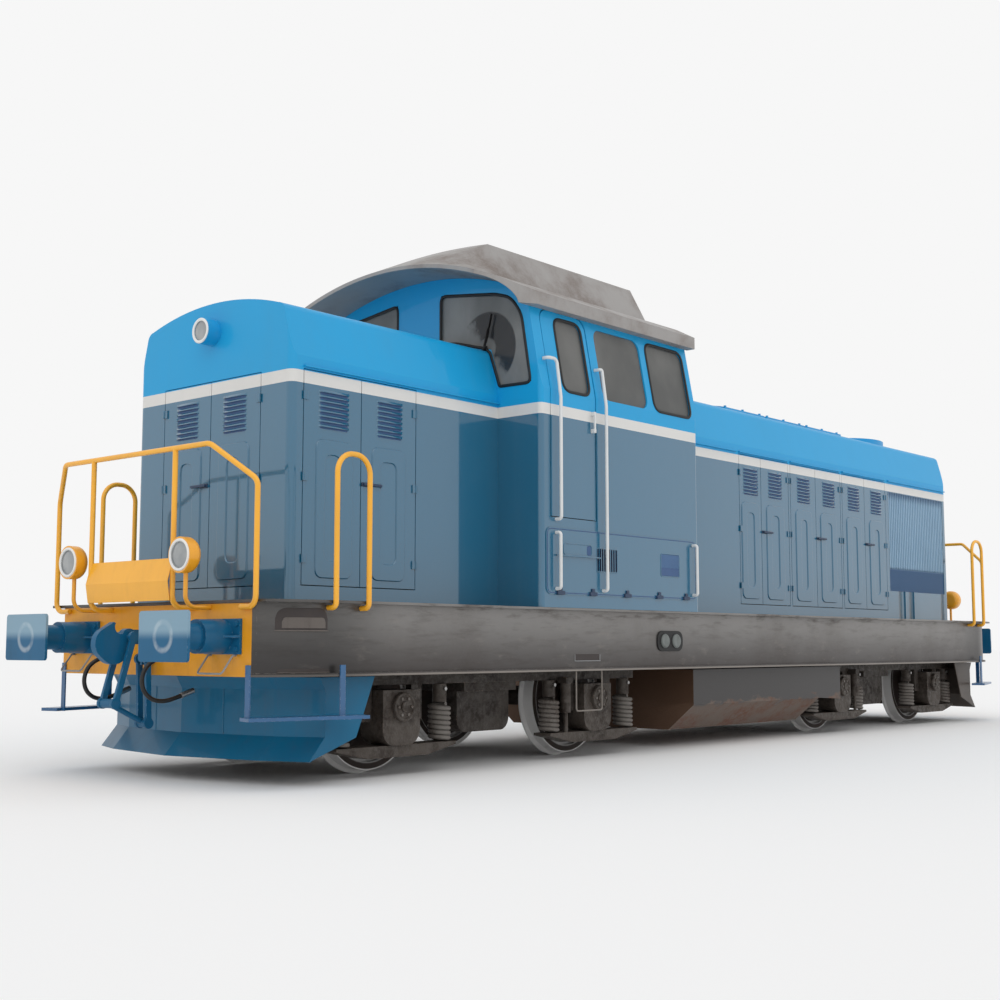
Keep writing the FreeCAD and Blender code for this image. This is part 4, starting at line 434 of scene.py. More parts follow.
roof_grey = make_paint("roof_grey", colour(156, 153, 151), colour(112, 98, 90), dirty=0.75, worn=0.25,
                       gloss=0.5, patch=1.5, streaks=0.15, low=3.0, high=3.1, grain=0.15)
hatch_blue = make_paint("hatch_blue", SKY_BLUE, colour(90, 130, 152), dirty=0.15, worn=0.2, gloss=0.4,
                        low=3.0, high=3.1)
grip_grey = make_paint("grip_grey", colour(150, 152, 154), colour(90, 84, 78), dirty=0.35, worn=0.5)
handle_dark = make_paint("handle_dark", colour(36, 58, 88), colour(60, 66, 74), dirty=0.2, worn=0.3,
                         gloss=0.45)
machine_grey = make_paint("machine_grey", colour(116, 122, 120), colour(48, 44, 40), dirty=0.5, worn=0.4,
                          gloss=0.5)
interior_grey = make_paint("interior_grey", colour(148, 152, 150), colour(80, 78, 74), dirty=0.3, worn=0.2,
                           gloss=0.6)
slot_shadow = make_paint("slot_shadow", colour(16, 26, 52), colour(24, 30, 42), dirty=0.4, worn=0.0,
                         gloss=0.8, shine=0.1)
painted_slot_shade = make_paint("painted_slot_shade", colour(54, 88, 134), colour(44, 66, 98), dirty=0.3, worn=0.0,
                         gloss=0.5)
pocket_shadow = make_paint("pocket_shadow", colour(50, 43, 42), colour(74, 66, 62), dirty=0.4, worn=0.0,
                           gloss=0.55)
pocket_ledge = make_paint("pocket_ledge", colour(98, 91, 86), colour(72, 64, 60), dirty=0.5, worn=0.3,
                          gloss=0.5)
window_rubber = make_paint("window_rubber", colour(12, 12, 13), colour(44, 44, 43), dirty=0.12, worn=0.0,
                           gloss=0.55)
print("grille paint nodes:", len(grille_paint.node_tree.nodes))

# %% [markdown]
# ## Marks of use, and painted light
# Other engines' buffers have rubbed a ring on each head; the paler upper half of each head is a painted sky
# reflection. The ploughs' backs are brown from what the wheels throw up, boots have greyed the stirrups, and
# the radiator's grille carries painted shade at its top and at its foot. All are masks over the plain paint,
# so the paints themselves stay simple.

# %% Rubbed buffer heads and a painted sky reflection
BUFFER_SPREAD = 0.875
BUFFER_HEIGHT = 1.062
BUFFER_HEAD_START = 6.83
HEAD_RING = colour(150, 166, 180)
HEAD_PAINTED_SKY_REFLECTION = colour(178, 206, 218)


def tint_where(paint, mask, tint):
    """Another colour over the finish's own, where the mask is one."""
    tree = paint.node_tree
    base = tree.nodes["Principled BSDF"].inputs["Base Color"]
    tree.links.new(mixed(tree, mask, base.links[0].from_socket, tint), base)


tree = buffer_blue.node_tree
spot = spot_parts(tree)
on_head = above(tree, size_of(tree, spot["X"]), BUFFER_HEAD_START)
across = arithmetic(tree, "SUBTRACT", size_of(tree, spot["Y"]), BUFFER_SPREAD)
up = arithmetic(tree, "SUBTRACT", spot["Z"], BUFFER_HEIGHT)
from_middle = distance(tree, across, up)
ring = times(tree, ramp(tree, from_middle, 0.068, 0.092), ramp(tree, from_middle, 0.124, 0.104))
uneven = ramp(tree, noise(tree, on_object(tree), 9.0), 0.35, 0.6, 0.3, 0.9)
tint_where(buffer_blue, times(tree, ring, uneven, on_head), HEAD_RING)
# Painted reflection: the upper half of each head is paler, as if it caught the sky.
tint_where(buffer_blue, times(tree, ramp(tree, up, -0.03, 0.05, 0.0, 0.5), on_head), HEAD_PAINTED_SKY_REFLECTION)
print("tinted:", buffer_blue.name)

# %% Dirty ploughs and stirrups, painted shade on the grille
WHEEL_SPRAY = colour(82, 74, 68)
TRODDEN_GREY = colour(120, 113, 106)
STIRRUP_TOP = 0.80
STIRRUP_REACH = 4.0
GRILLE_TOP_SHADE = colour(60, 88, 130)
GRILLE_FOOT_PAINTED_SHADE = colour(50, 86, 124)
GRILLE_BAND_TOP = 1.975
GRILLE_TOP = 2.955

tree = plough_blue.node_tree
spot = spot_parts(tree)
facing = facing_parts(tree)
tint_where(plough_blue, below(tree, times(tree, spot["X"], facing["X"]), -1.0), WHEEL_SPRAY)
far_sides = times(tree, above(tree, spot["X"], 0.0), above(tree, size_of(tree, facing["Y"]), 0.35))
tint_where(plough_blue, far_sides, WHEEL_SPRAY)

tree = grip_grey.node_tree
spot = spot_parts(tree)
inboard = below(tree, size_of(tree, spot["X"]), STIRRUP_REACH)
tint_where(grip_grey, times(tree, inboard, below(tree, spot["Z"], STIRRUP_TOP)), TRODDEN_GREY)

tree = grille_paint.node_tree
height = spot_parts(tree)["Z"]
# Painted shade: the grille darkens over its top 0.12 m and towards its foot, below GRILLE_BAND_TOP.
tint_where(grille_paint, ramp(tree, height, GRILLE_TOP - 0.12, GRILLE_TOP, 0.0, 0.6), GRILLE_TOP_SHADE)
tint_where(grille_paint, ramp(tree, height, GRILLE_BAND_TOP + 0.03, GRILLE_BAND_TOP - 0.02), GRILLE_FOOT_PAINTED_SHADE)
print("tinted:", plough_blue.name, grip_grey.name, grille_paint.name)

# %% [markdown]
# ## The sill and the headstocks
# The long sill carries no bright paint: a dark grey, scuffed to metal along its edges and stained. Its
# lightening upwards is a painted reflection and shade, its stains grow darker just under the deck, partly as
# a painted shadow of the deck's overhang, the light line on its flange is a painted highlight, and its curved
# ends carry painted shade. Only the two end faces are yellow, so one material looks at the height, the
# distance from the middle and the way that a face looks.

# %% Sill paint
HEADSTOCK_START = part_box("underframe")[1].x - 0.045
DECK_UNDERSIDE = 1.296
FLANGE_TOP = 0.795
STEEL_WITH_LOW_SHADE = colour(84, 81, 80)
STEEL_WITH_HIGH_REFLECTION = colour(131, 129, 127)
SCUFFED = colour(150, 143, 136)
STAIN_AND_DECK_SHADOW = colour(62, 55, 50)
SILL_DIRT = colour(66, 54, 46)
FLANGE_PAINTED_HIGHLIGHT = colour(168, 160, 152)
SILL_END_PAINTED_SHADE = colour(46, 45, 45)
DECK_TOP = colour(50, 48, 47)
CHIPPED_EDGE = colour(150, 144, 136)
HEADSTOCK_YELLOW = colour(238, 162, 24)
HEADSTOCK_DIRT = colour(140, 88, 30)

sill_grey, tree, shader = new_finish("sill_grey", Specular_IOR_Level=0.5)
spot = spot_parts(tree)
facing = facing_parts(tree)
from_middle = size_of(tree, spot["X"])
scuffs = noise(tree, on_object(tree, (1.0, 1.0, 3.0)), 3.0, detail=9.0, roughness=0.7)
stains = noise(tree, on_object(tree, (1.0, 1.0, 6.0)), 2.2, detail=8.0, roughness=0.7)
# Stains all over the sill that grow darker just under the deck, where they are partly a painted shadow of its
# overhang.
stained_and_shaded = times(tree, ramp(tree, stains, 0.47, 0.68), ramp(tree, spot["Z"], 1.20, 1.29, 0.35, 1.0), 0.8)
# Painted light: the steel is darker low down and lighter towards the deck, for the floor's shade and the
# sky's reflection.
steel = mixed(tree, ramp(tree, spot["Z"], 0.82, 1.24), STEEL_WITH_LOW_SHADE, STEEL_WITH_HIGH_REFLECTION)
steel = mixed(tree, times(tree, ramp(tree, scuffs, 0.55, 0.8), 0.5), steel, SCUFFED)
steel = mixed(tree, stained_and_shaded, steel, STAIN_AND_DECK_SHADOW)
sill = use_group(tree, grime, Clean=steel, Dirt=SILL_DIRT, Amount=0.22, Patch_Size=0.9, Streaks=0.1,
                 Low=0.76, High=0.9)
front = use_group(tree, grime, Clean=HEADSTOCK_YELLOW, Dirt=HEADSTOCK_DIRT, Amount=0.2, Patch_Size=3.0,
                  Streaks=0.5, Low=0.75, High=0.95)
edges = use_group(tree, worn_edges, Reach=0.006, Amount=0.6)
# Painted highlight: a light line along the flange.
flange = times(tree, below(tree, spot["Z"], FLANGE_TOP), 0.55)
grey = mixed(tree, flange, sill.outputs["Colour"], FLANGE_PAINTED_HIGHLIGHT)
# Painted shade: the sill darkens towards both ends, where it curves away.
grey = mixed(tree, ramp(tree, from_middle, 5.0, 5.9, 0.0, 0.62), grey, SILL_END_PAINTED_SHADE)
walked_on = times(tree, above(tree, spot["Z"], DECK_UNDERSIDE), above(tree, facing["Z"], 0.8))
grey = mixed(tree, walked_on, grey, DECK_TOP)
yellow_part = times(tree, above(tree, from_middle, HEADSTOCK_START),
                    above(tree, size_of(tree, facing["X"]), 0.8), below(tree, spot["Z"], DECK_UNDERSIDE))
painted = mixed(tree, yellow_part, grey, front.outputs["Colour"])
fill(tree, shader,
     Base_Color=mixed(tree, edges.outputs["Mask"], painted, CHIPPED_EDGE),
     Roughness=ramp(tree, sill.outputs["Mask"], 0.0, 0.5, 0.34, 0.6),
     Metallic=times(tree, arithmetic(tree, "SUBTRACT", 1.0, yellow_part), 0.6))
bump(tree, shader, noise(tree, on_object(tree), 1.6, detail=3.0), 0.01, 0.25, edges)
print("sill paint nodes:", len(tree.nodes))

# %% [markdown]
# ## Rusty castings and wheels
# Bogies, springs, tank and wheels were never painted brightly. Brake dust and oil make them a dark
# brown, so they share the scale group and differ in how brown, how rough and how worn they are.

# %% Rusty metals
RUBBED_IRON = colour(150, 132, 118)
RUBBED_METALLIC = 0.35


def make_casting(name, metal, rust, grain, relief, worn=0.4):
    """Dark iron under scale and rust, worn brighter along its edges."""
    casting, tree, shader = new_finish(name, Specular_IOR_Level=0.4)
    skin = use_group(tree, scale_skin, Grain=grain, Rust=rust, Metal=metal)
    edges = use_group(tree, worn_edges, Reach=0.006, Amount=worn)
    fill(tree, shader,
         Base_Color=mixed(tree, edges.outputs["Mask"], skin.outputs["Colour"], RUBBED_IRON),
         Roughness=skin.outputs["Roughness"],
         Metallic=times(tree, edges.outputs["Mask"], RUBBED_METALLIC))
    bump(tree, shader, skin.outputs["Height"], relief, 0.6, edges)
    return casting


bogie_iron = make_casting("bogie_iron", colour(66, 60, 55), colour(36, 28, 23), 16.0, 0.012, worn=0.9)
box_iron = make_casting("box_iron", colour(78, 71, 65), colour(42, 33, 27), 16.0, 0.014, worn=1.0)
coil_steel = make_casting("coil_steel", colour(116, 111, 106), colour(70, 58, 50), 60.0, 0.001, worn=0.3)
cock_iron = make_casting("cock_iron", colour(54, 56, 58), colour(66, 54, 46), 60.0, 0.001)
bare_steel = make_paint("bare_steel", colour(176, 176, 176), colour(100, 92, 84), dirty=0.4, worn=0.5,
                        gloss=0.3)
fill(bare_steel.node_tree, bare_steel.node_tree.nodes["Principled BSDF"], Metallic=0.9)
print("castings:", [casting.name for casting in (bogie_iron, box_iron, coil_steel, cock_iron)])

# %% Tank paint
TANK_RUST = colour(108, 74, 58)
TANK_SCALE = colour(112, 100, 92)
TANK_CLEAN = colour(66, 64, 64)
TANK_END = colour(96, 72, 56)

tank_iron, tree, shader = new_finish("tank_iron", Specular_IOR_Level=0.4)
tank_skin = use_group(tree, scale_skin, Grain=24.0, Rust=TANK_RUST, Metal=TANK_SCALE)
flakes = noise(tree, on_object(tree, (1.0, 1.0, 2.2)), 4.5, detail=9.0, roughness=0.65)
rust_line = arithmetic(tree, "ADD", spot_parts(tree)["Z"], times(tree, flakes, 0.42))
clean_side = ramp(tree, rust_line, 0.615, 0.67)
sides = mixed(tree, clean_side, tank_skin.outputs["Colour"], TANK_CLEAN)
end_face = above(tree, size_of(tree, facing_parts(tree)["X"]), 0.7)
fill(tree, shader,
     Base_Color=mixed(tree, end_face, sides, TANK_END),
     Roughness=ramp(tree, clean_side, 0.0, 1.0, 0.75, 0.36),
     Metallic=ramp(tree, clean_side, 0.0, 1.0, 0.0, 0.3))
bump(tree, shader, tank_skin.outputs["Height"], 0.003, ramp(tree, clean_side, 0.0, 1.0, 0.6, 0.05))
print("tank paint nodes:", len(tree.nodes))

# %% Wheel paint
BOGIE_CENTRE = 3.6
HALF_WHEELBASE = 1.25
AXLE_HEIGHT = 0.53
WHEEL_RUST = colour(66, 50, 42)
WHEEL_SCALE = colour(52, 44, 40)
POLISHED_AND_HIGHLIGHT = colour(232, 231, 230)

wheel_iron, tree, shader = new_finish("wheel_iron", Specular_IOR_Level=0.5)
spot = spot_parts(tree)
along = size_of(tree, spot["X"])
for offset in (BOGIE_CENTRE, HALF_WHEELBASE):
    along = size_of(tree, arithmetic(tree, "SUBTRACT", along, offset))
from_axle = distance(tree, along, arithmetic(tree, "SUBTRACT", spot["Z"], AXLE_HEIGHT))
tread = ramp(tree, from_axle, 0.488, 0.494)
# A polished tread, and a painted highlight along a ring on the wheel's face.
rim_painted_highlight = times(tree, ramp(tree, from_axle, 0.405, 0.418), ramp(tree, from_axle, 0.452, 0.436))
tread_and_rim_highlight = arithmetic(tree, "MAXIMUM", tread, times(tree, rim_painted_highlight, 0.6))
wheel_skin = use_group(tree, scale_skin, Grain=50.0, Rust=WHEEL_RUST, Metal=WHEEL_SCALE)
fill(tree, shader,
     Base_Color=mixed(tree, tread_and_rim_highlight, wheel_skin.outputs["Colour"], POLISHED_AND_HIGHLIGHT),
     Roughness=ramp(tree, tread_and_rim_highlight, 0.0, 1.0, 0.7, 0.28),
     Metallic=ramp(tree, tread_and_rim_highlight, 0.0, 1.0, 0.1, 0.15))
bump(tree, shader, wheel_skin.outputs["Height"], 0.002, ramp(tree, tread_and_rim_highlight, 0.0, 1.0, 0.6, 0.03))
print("wheel paint nodes:", len(tree.nodes))

# %% [markdown]
# ## Glass
# Nobody has washed the windows, so each pane is hidden by a grey dust that is thinner in some clouds than
# in others; on the side panes it is darker, a painted shade. A mask cuts the wiper's arc out of it on the
# front pane, where the glass is painted dark as shade for the dim cab behind it.
# The lamps' lenses are smooth grey glass, which the dust has dulled.

# %% Window glass
WIPER_FOOT = (-0.822, 3.600)
FRONT_GLASS_START = -3.4
# Painted shade: the wiped glass is coloured dark for the dim cab seen through it.
WIPED_GLASS_PAINTED_SHADE = colour(62, 63, 65)

window_glass, tree, shader = new_finish("window_glass", IOR=1.45, Specular_IOR_Level=0.4)
spot = spot_parts(tree)
across = arithmetic(tree, "SUBTRACT", times(tree, spot["Y"], -1.0), -WIPER_FOOT[0])
up = arithmetic(tree, "SUBTRACT", spot["Z"], WIPER_FOOT[1])
angle = arithmetic(tree, "ARCTAN2", up, across)
from_foot = distance(tree, across, up)
ragged = times(tree, noise(tree, on_object(tree), 9.0, detail=5.0), 0.9)
in_arc = times(tree, ramp(tree, from_foot, 0.345, 0.325), ramp(tree, from_foot, 0.09, 0.12))
in_sweep = times(tree, ramp(tree, arithmetic(tree, "ADD", angle, ragged), -0.45, -0.05),
                 ramp(tree, arithmetic(tree, "SUBTRACT", angle, ragged), 1.95, 1.5))
wiped = times(tree, in_arc, in_sweep, below(tree, spot["X"], FRONT_GLASS_START))
clouds = ramp(tree, noise(tree, on_object(tree, (1.0, 1.0, 0.7)), 1.8, detail=6.0, roughness=0.5), 0.3, 0.75)
end_dust = mixed(tree, clouds, colour(116, 116, 114), colour(148, 147, 144))
# Painted shade: the side panes' dust is a darker grey.
shaded_side_dust = mixed(tree, clouds, colour(92, 93, 92), colour(112, 112, 110))
sideways = above(tree, size_of(tree, facing_parts(tree)["Y"]), 0.5)
dusty = mixed(tree, sideways, end_dust, shaded_side_dust)
fill(tree, shader,
     Base_Color=mixed(tree, wiped, dusty, WIPED_GLASS_PAINTED_SHADE),
     Alpha=arithmetic(tree, "SUBTRACT", ramp(tree, clouds, 0.0, 1.0, 0.9, 0.97), times(tree, wiped, 0.2)),
     Roughness=ramp(tree, wiped, 0.0, 1.0, 0.5, 0.15))
print("window glass nodes:", len(tree.nodes))

# %% Lenses and seats
lamp_glass, tree, shader = new_finish("lamp_glass", Roughness=0.12, IOR=1.5)
lens_film = ramp(tree, noise(tree, on_object(tree), 6.0, detail=3.0), 0.35, 0.7)
fill(tree, shader, Base_Color=mixed(tree, lens_film, colour(150, 154, 156), colour(172, 174, 174)))

seat_cover, tree, shader = new_finish("seat_cover", Roughness=0.6)
seat_grain = noise(tree, on_object(tree), 90.0, detail=5.0)
fill(tree, shader, Base_Color=mixed(tree, seat_grain, colour(30, 30, 32), colour(54, 52, 52)))
bump(tree, shader, seat_grain, 0.002, 1.0)
print("lens and seat:", lamp_glass.name, seat_cover.name)

# %% Which solid has which finish
FINISHES = [
    ("cab_door_glass", window_glass), ("cab_glass", window_glass), ("cab_door", body_paint),
    ("cab_body", body_paint), ("cab_lower_panels", body_paint), ("cab_roof", roof_grey),
    ("cab_handrails", rail_white), ("cab_interior", interior_grey), ("short_", body_paint),
    ("long_", body_paint), ("front_door", body_paint), ("radiator_grilles", grille_paint),
    ("roof_hatches", hatch_blue), ("grab_bars", grip_grey), ("underframe", sill_grey),
    ("buffers", buffer_blue), ("draw_gear", buffer_blue), ("hose_cocks", cock_iron),
    ("hose_couplings", bare_steel), ("brake_hose", hose_rubber), ("ploughs", plough_blue),
    ("steps", step_blue), ("end_railings", rail_yellow), ("springs", coil_steel),
    ("lamp_lenses", lamp_glass), ("lamps", lamp_paint), ("fuel_tank", tank_iron),
    ("bogie_frame", bogie_iron), ("suspension", box_iron), ("wheelset", wheel_iron),
    ("seats", seat_cover), ("engine_block", machine_grey),
]
for name, solid in nodes.items():
    finish = next(finish for start, finish in FINISHES if name.startswith(start))
    solid.data.materials.clear()
    solid.data.materials.append(finish)
print("painted solids:", len(nodes))

# %% [markdown]
# ## How the small pieces are laid on
# Nearly every small piece is a flat shape on a wall: a gasket, a pressing, a slat, a plate. It could be
# modelled in place by hand, but a flat outline in the wall's own two directions is easier to
# measure from a picture. A place function then lays it on its wall, so the same shape serves the
# left, the right and the leaning cab side.

# %% Walls
HOOD_HALF = 0.965
HOOD_FRONT = 5.823
CAB_HALF = 1.452
CAB_FRONT = 3.485
CAB_BACK = -1.073
CAB_LEAN_START = 3.19
CAB_LEAN = 0.187
SILL_HALF = 1.392
SILL_END_START = 5.80
SILL_END_LENGTH = 0.53
SILL_END_DROP = 0.212
SILL_END_POWER = 2.2
BURIED = -0.003
SIDES = {"right": -1, "left": 1}


def side_wall(face, side):
    """Along one side of the engine: x, height, and how far out from an upright face."""
    return lambda along, up, out: (along, side * (face + out), up)


def end_wall(face, end=-1):
    """Across the engine: y, height, and how far out from a face that looks towards one end."""
    return lambda across, up, out: (end * (face + out), across, up)


def on_cab_side(side, proud=0.0):
    """Along the cab's side, which leans in above the window sill."""
    def place(along, up, out):
        lean = max(0.0, up - CAB_LEAN_START) * CAB_LEAN
        return along, side * (CAB_HALF + proud - lean + out), up
    return place


def on_sill(side):
    """Along the sill, which curves in towards the headstock."""
    def place(along, up, out):
        share = max(0.0, abs(along) - SILL_END_START) / SILL_END_LENGTH
        turned_in = SILL_END_DROP * share ** SILL_END_POWER
        return along, side * (SILL_HALF - turned_in + out), up
    return place


sill_end = on_sill(1)(SILL_END_START + SILL_END_LENGTH, 0.0, 0.0)
print("half width of the sill, in the middle and at its end:", SILL_HALF, round(sill_end[1], 3))

# %% Outlines and closed shapes
ARCH_STEPS = 30
SHARP_FROM = math.radians(40.0)


def soft_outline(corners, radii, steps=6):
    """A closed outline through corners, each rounded by its own radius."""
    radii = radii if isinstance(radii, (list, tuple)) else [radii] * len(corners)
    spots = [mathutils.Vector(corner) for corner in corners]
    outline = []
    for number, (corner, radius) in enumerate(zip(spots, radii)):
        back = spots[number - 1] - corner
        ahead = spots[(number + 1) % len(spots)] - corner
        reach = min(radius / math.tan(back.angle(ahead) / 2), 0.45 * min(back.length, ahead.length))
        start = corner + back.normalized() * reach
        end = corner + ahead.normalized() * reach
        for step in range(steps + 1):
            share = step / steps
            outline.append(start * (1 - share) ** 2 + corner * 2 * share * (1 - share) + end * share ** 2)
    return outline


def soft_box(across, up, radius):
    """A rectangle with rounded corners, from its two spans."""
    start, end = across
    low, high = up
    return soft_outline([(start, low), (end, low), (end, high), (start, high)], radius)


def circle(centre, radius, steps=32):
    """The points of a circle, or of a ring of bolts."""
    turns = [math.tau * step / steps for step in range(steps)]
    return [mathutils.Vector((centre[0] + radius * math.cos(turn), centre[1] + radius * math.sin(turn)))
            for turn in turns]


def moved(outline, distance):
    """The outline moved outwards by a distance, or inwards where it is negative."""
    shifted = []
    for number, spot in enumerate(outline):
        heading = (outline[(number + 1) % len(outline)] - outline[number - 1]).normalized()
        shifted.append(spot + mathutils.Vector((heading.y, -heading.x)) * distance)
    return shifted


def skin(section, place, ring=False):
    """Vertices and faces between outlines of one length. A ring closes on itself, or both ends are capped."""
    count = len(section[0][0])
    spots = [place(spot[0], spot[1], out) for outline, out in section for spot in outline]
    faces = []
    for row in range(len(section) if ring else len(section) - 1):
        here = row * count
        there = (row + 1) % len(section) * count
        for step in range(count):
            after = (step + 1) % count
            faces.append((here + step, here + after, there + after, there + step))
    if not ring:
        faces += [tuple(range(count)), tuple(range(len(spots) - count, len(spots)))]
    return spots, faces


def plate(outline, place, thickness, base=0.0, rounding=0.002):
    """A thin plate on a wall, with its front edge rounded."""
    return skin([(outline, base + BURIED), (outline, base + thickness - rounding),
                 (moved(outline, -rounding), base + thickness)], place)


def drawn_along(rows, place):
    """A shape drawn along a wall, from rows of (profile, along). A profile's points are (height, out)."""
    return skin(rows, lambda up, out, along: place(along, up, out))


def wrapped_plate(columns, place, thickness):
    """A thin plate that follows a curved wall, from columns of (along, low, high)."""
    rows = [([(low, BURIED), (low, thickness), (high, thickness), (high, BURIED)], along)
            for along, low, high in columns]
    return drawn_along(rows, place)


def arched_columns(start, end, low, high, rounding):
    """Columns from start to end whose upper corners are rounded."""
    columns = []
    for step in range(ARCH_STEPS + 1):
        along = start + (end - start) * step / ARCH_STEPS
        from_end = min(along - start, end - along, rounding)
        drop = rounding - math.sqrt(max(0.0, rounding ** 2 - (rounding - from_end) ** 2))
        columns.append((along, low, max(high - drop, low + 0.001)))
    return columns


def bead(outline, place, width, thickness):
    """A half-round bead that runs along an outline."""
    half = width / 2
    section = [(-half, BURIED), (-half, thickness * 0.35), (-half * 0.6, thickness * 0.85), (0.0, thickness),
               (half * 0.6, thickness * 0.85), (half, thickness * 0.35), (half, BURIED)]
    return skin([(moved(outline, across), out) for across, out in section], place, ring=True)


def keep_piece(name, mesh, finish, body):
    """A finished mesh as a piece of the scene, on its body, with its finish where one is given."""
    made = bpy.data.objects.new(name, mesh)
    bpy.context.scene.collection.objects.link(made)
    if finish:
        mesh.materials.clear()
        mesh.materials.append(finish)
    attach(made, body)
    return made


def closed_mesh(name, shapes):
    """One mesh from several closed shapes, with faces that point outwards."""
    spots = []
    faces = []
    for some_spots, some_faces in shapes:
        start = len(spots)
        spots += some_spots
        faces += [tuple(start + number for number in face) for face in some_faces]
    mesh = bpy.data.meshes.new(name)
    mesh.from_pydata(spots, [], faces)
    work = bmesh.new()
    work.from_mesh(mesh)
    bmesh.ops.recalc_face_normals(work, faces=work.faces)
    work.to_mesh(mesh)
    work.free()
    mesh.polygons.foreach_set("use_smooth", [True] * len(mesh.polygons))
    mesh.set_sharp_from_angle(angle=SHARP_FROM)
    return mesh


def add_piece(name, shapes, finish, body="frame"):
    """One piece made from closed shapes and kept."""
    return keep_piece(name, closed_mesh(name, shapes), finish, body)


# %% [markdown]
# ## Pieces that repeat
# Slats, fins and bolts repeat in rows, and springs are wire wound on a helix. Geometry Nodes make these
# from one seed: a tree copies, winds or scatters it, makes real mesh of the copies and
# gives them their finish. The result is then kept as a plain mesh, so that each body owns its own.

# %% Geometry Nodes helpers
def new_tree(name, inputs):
    """An empty Geometry Nodes tree. Inputs are name: (kind, default)."""
    tree = bpy.data.node_groups.new(name, "GeometryNodeTree")
    tree.interface.new_socket("Geometry", in_out="INPUT", socket_type="NodeSocketGeometry")
    for socket, (kind, default) in inputs.items():
        made = tree.interface.new_socket(socket, in_out="INPUT", socket_type="NodeSocket" + kind)
        if default is not None:
            made.default_value = default
    tree.interface.new_socket("Geometry", in_out="OUTPUT", socket_type="NodeSocketGeometry")
    return tree, tree.nodes.new("NodeGroupInput"), tree.nodes.new("NodeGroupOutput")


def finish_tree(tree, given, result, instances, shade=None):
    """Real mesh from the instances, then the finish, and a second one, for painted shade, on the faces that
    look down.
    """
    real = add_node(tree, "GeometryNodeRealizeInstances", {"Geometry": instances})
    done = add_node(tree, "GeometryNodeSetMaterial",
                    {"Geometry": real.outputs["Geometry"], "Material": given.outputs["Finish"]})
    if shade:
        facing = add_node(tree, "ShaderNodeSeparateXYZ",
                          {"Vector": tree.nodes.new("GeometryNodeInputNormal").outputs["Normal"]})
        under = arithmetic(tree, "LESS_THAN", facing.outputs["Z"], -0.75)
        done = add_node(tree, "GeometryNodeSetMaterial",
                        {"Geometry": done.outputs["Geometry"], "Selection": under,
                         "Material": given.outputs[shade]})
    tree.links.new(done.outputs["Geometry"], result.inputs["Geometry"])


def grown(name, seed, tree, body, slot_name, **values):
    """The tree run on a seed mesh, kept as a plain mesh on one body."""
    made = bpy.data.objects.new(name + "_seed", seed)
    bpy.context.scene.collection.objects.link(made)
    modifier = made.modifiers.new(tree.name, "NODES")
    modifier.node_group = tree
    sockets = {item.name: item.identifier for item in tree.interface.items_tree if item.in_out == "INPUT"}
    for input_name, value in values.items():
        modifier[sockets[input_name.replace("_", " ")]] = value
    evaluated = made.evaluated_get(bpy.context.evaluated_depsgraph_get())
    plain = bpy.data.meshes.new_from_object(evaluated)
    made.modifiers.remove(modifier)
    bpy.data.objects.remove(made)
    return keep_piece(name, plain, None, body)


# %% Tree: a row of copies
row_of_copies, given, result = new_tree("row_of_copies", {
    "Count": ("Int", 8), "Step": ("Vector", (0.0, 0.0, -0.04)), "Finish": ("Material", None),
    "Shaded Finish": ("Material", None)})
line = add_node(row_of_copies, "GeometryNodeMeshLine", {"Count": given.outputs["Count"],
                                                        "Offset": given.outputs["Step"]})
copies = add_node(row_of_copies, "GeometryNodeInstanceOnPoints", {"Points": line.outputs["Mesh"],
                                                                  "Instance": given.outputs["Geometry"]})
finish_tree(row_of_copies, given, result, copies.outputs["Instances"], shade="Shaded Finish")

# %% Tree: wound springs
wound_springs, given, result = new_tree("wound_springs", {
    "Coil Radius": ("Float", 0.08), "Wire Radius": ("Float", 0.015), "Height": ("Float", 0.3),
    "Turns": ("Float", 6.0), "Finish": ("Material", None)})
helix = add_node(wound_springs, "GeometryNodeCurveSpiral",
                 {"Resolution": 20, "Rotations": given.outputs["Turns"], "Height": given.outputs["Height"],
                  "Start Radius": given.outputs["Coil Radius"], "End Radius": given.outputs["Coil Radius"]})
wire = add_node(wound_springs, "GeometryNodeCurvePrimitiveCircle", {"Resolution": 8,
                                                                    "Radius": given.outputs["Wire Radius"]})
coil = add_node(wound_springs, "GeometryNodeCurveToMesh",
                {"Curve": helix.outputs["Curve"], "Profile Curve": wire.outputs["Curve"], "Fill Caps": True})
smooth_coil = add_node(wound_springs, "GeometryNodeSetShadeSmooth", {"Geometry": coil.outputs["Mesh"]})
placed = add_node(wound_springs, "GeometryNodeInstanceOnPoints",
                  {"Points": given.outputs["Geometry"], "Instance": smooth_coil.outputs["Geometry"]})
finish_tree(wound_springs, given, result, placed.outputs["Instances"])

# %% Tree: bolt heads on points
bolt_heads, given, result = new_tree("bolt_heads", {
    "Radius": ("Float", 0.015), "Height": ("Float", 0.014), "Facing": ("Vector", (0.0, 0.0, 0.0)),
    "Finish": ("Material", None)})
head = add_node(bolt_heads, "GeometryNodeMeshCylinder", {"Vertices": 6, "Radius": given.outputs["Radius"],
                                                         "Depth": given.outputs["Height"]})
turn = add_node(bolt_heads, "FunctionNodeEulerToRotation", {"Euler": given.outputs["Facing"]})
placed = add_node(bolt_heads, "GeometryNodeInstanceOnPoints",
                  {"Points": given.outputs["Geometry"], "Instance": head.outputs["Mesh"],
                   "Rotation": turn.outputs["Rotation"]})
finish_tree(bolt_heads, given, result, placed.outputs["Instances"])
print("trees:", [tree.name for tree in (row_of_copies, wound_springs, bolt_heads)])


def points_mesh(name, points):
    """A mesh of loose points, as a seed for a tree."""
    mesh = bpy.data.meshes.new(name)
    mesh.from_pydata(points, [], [])
    return mesh


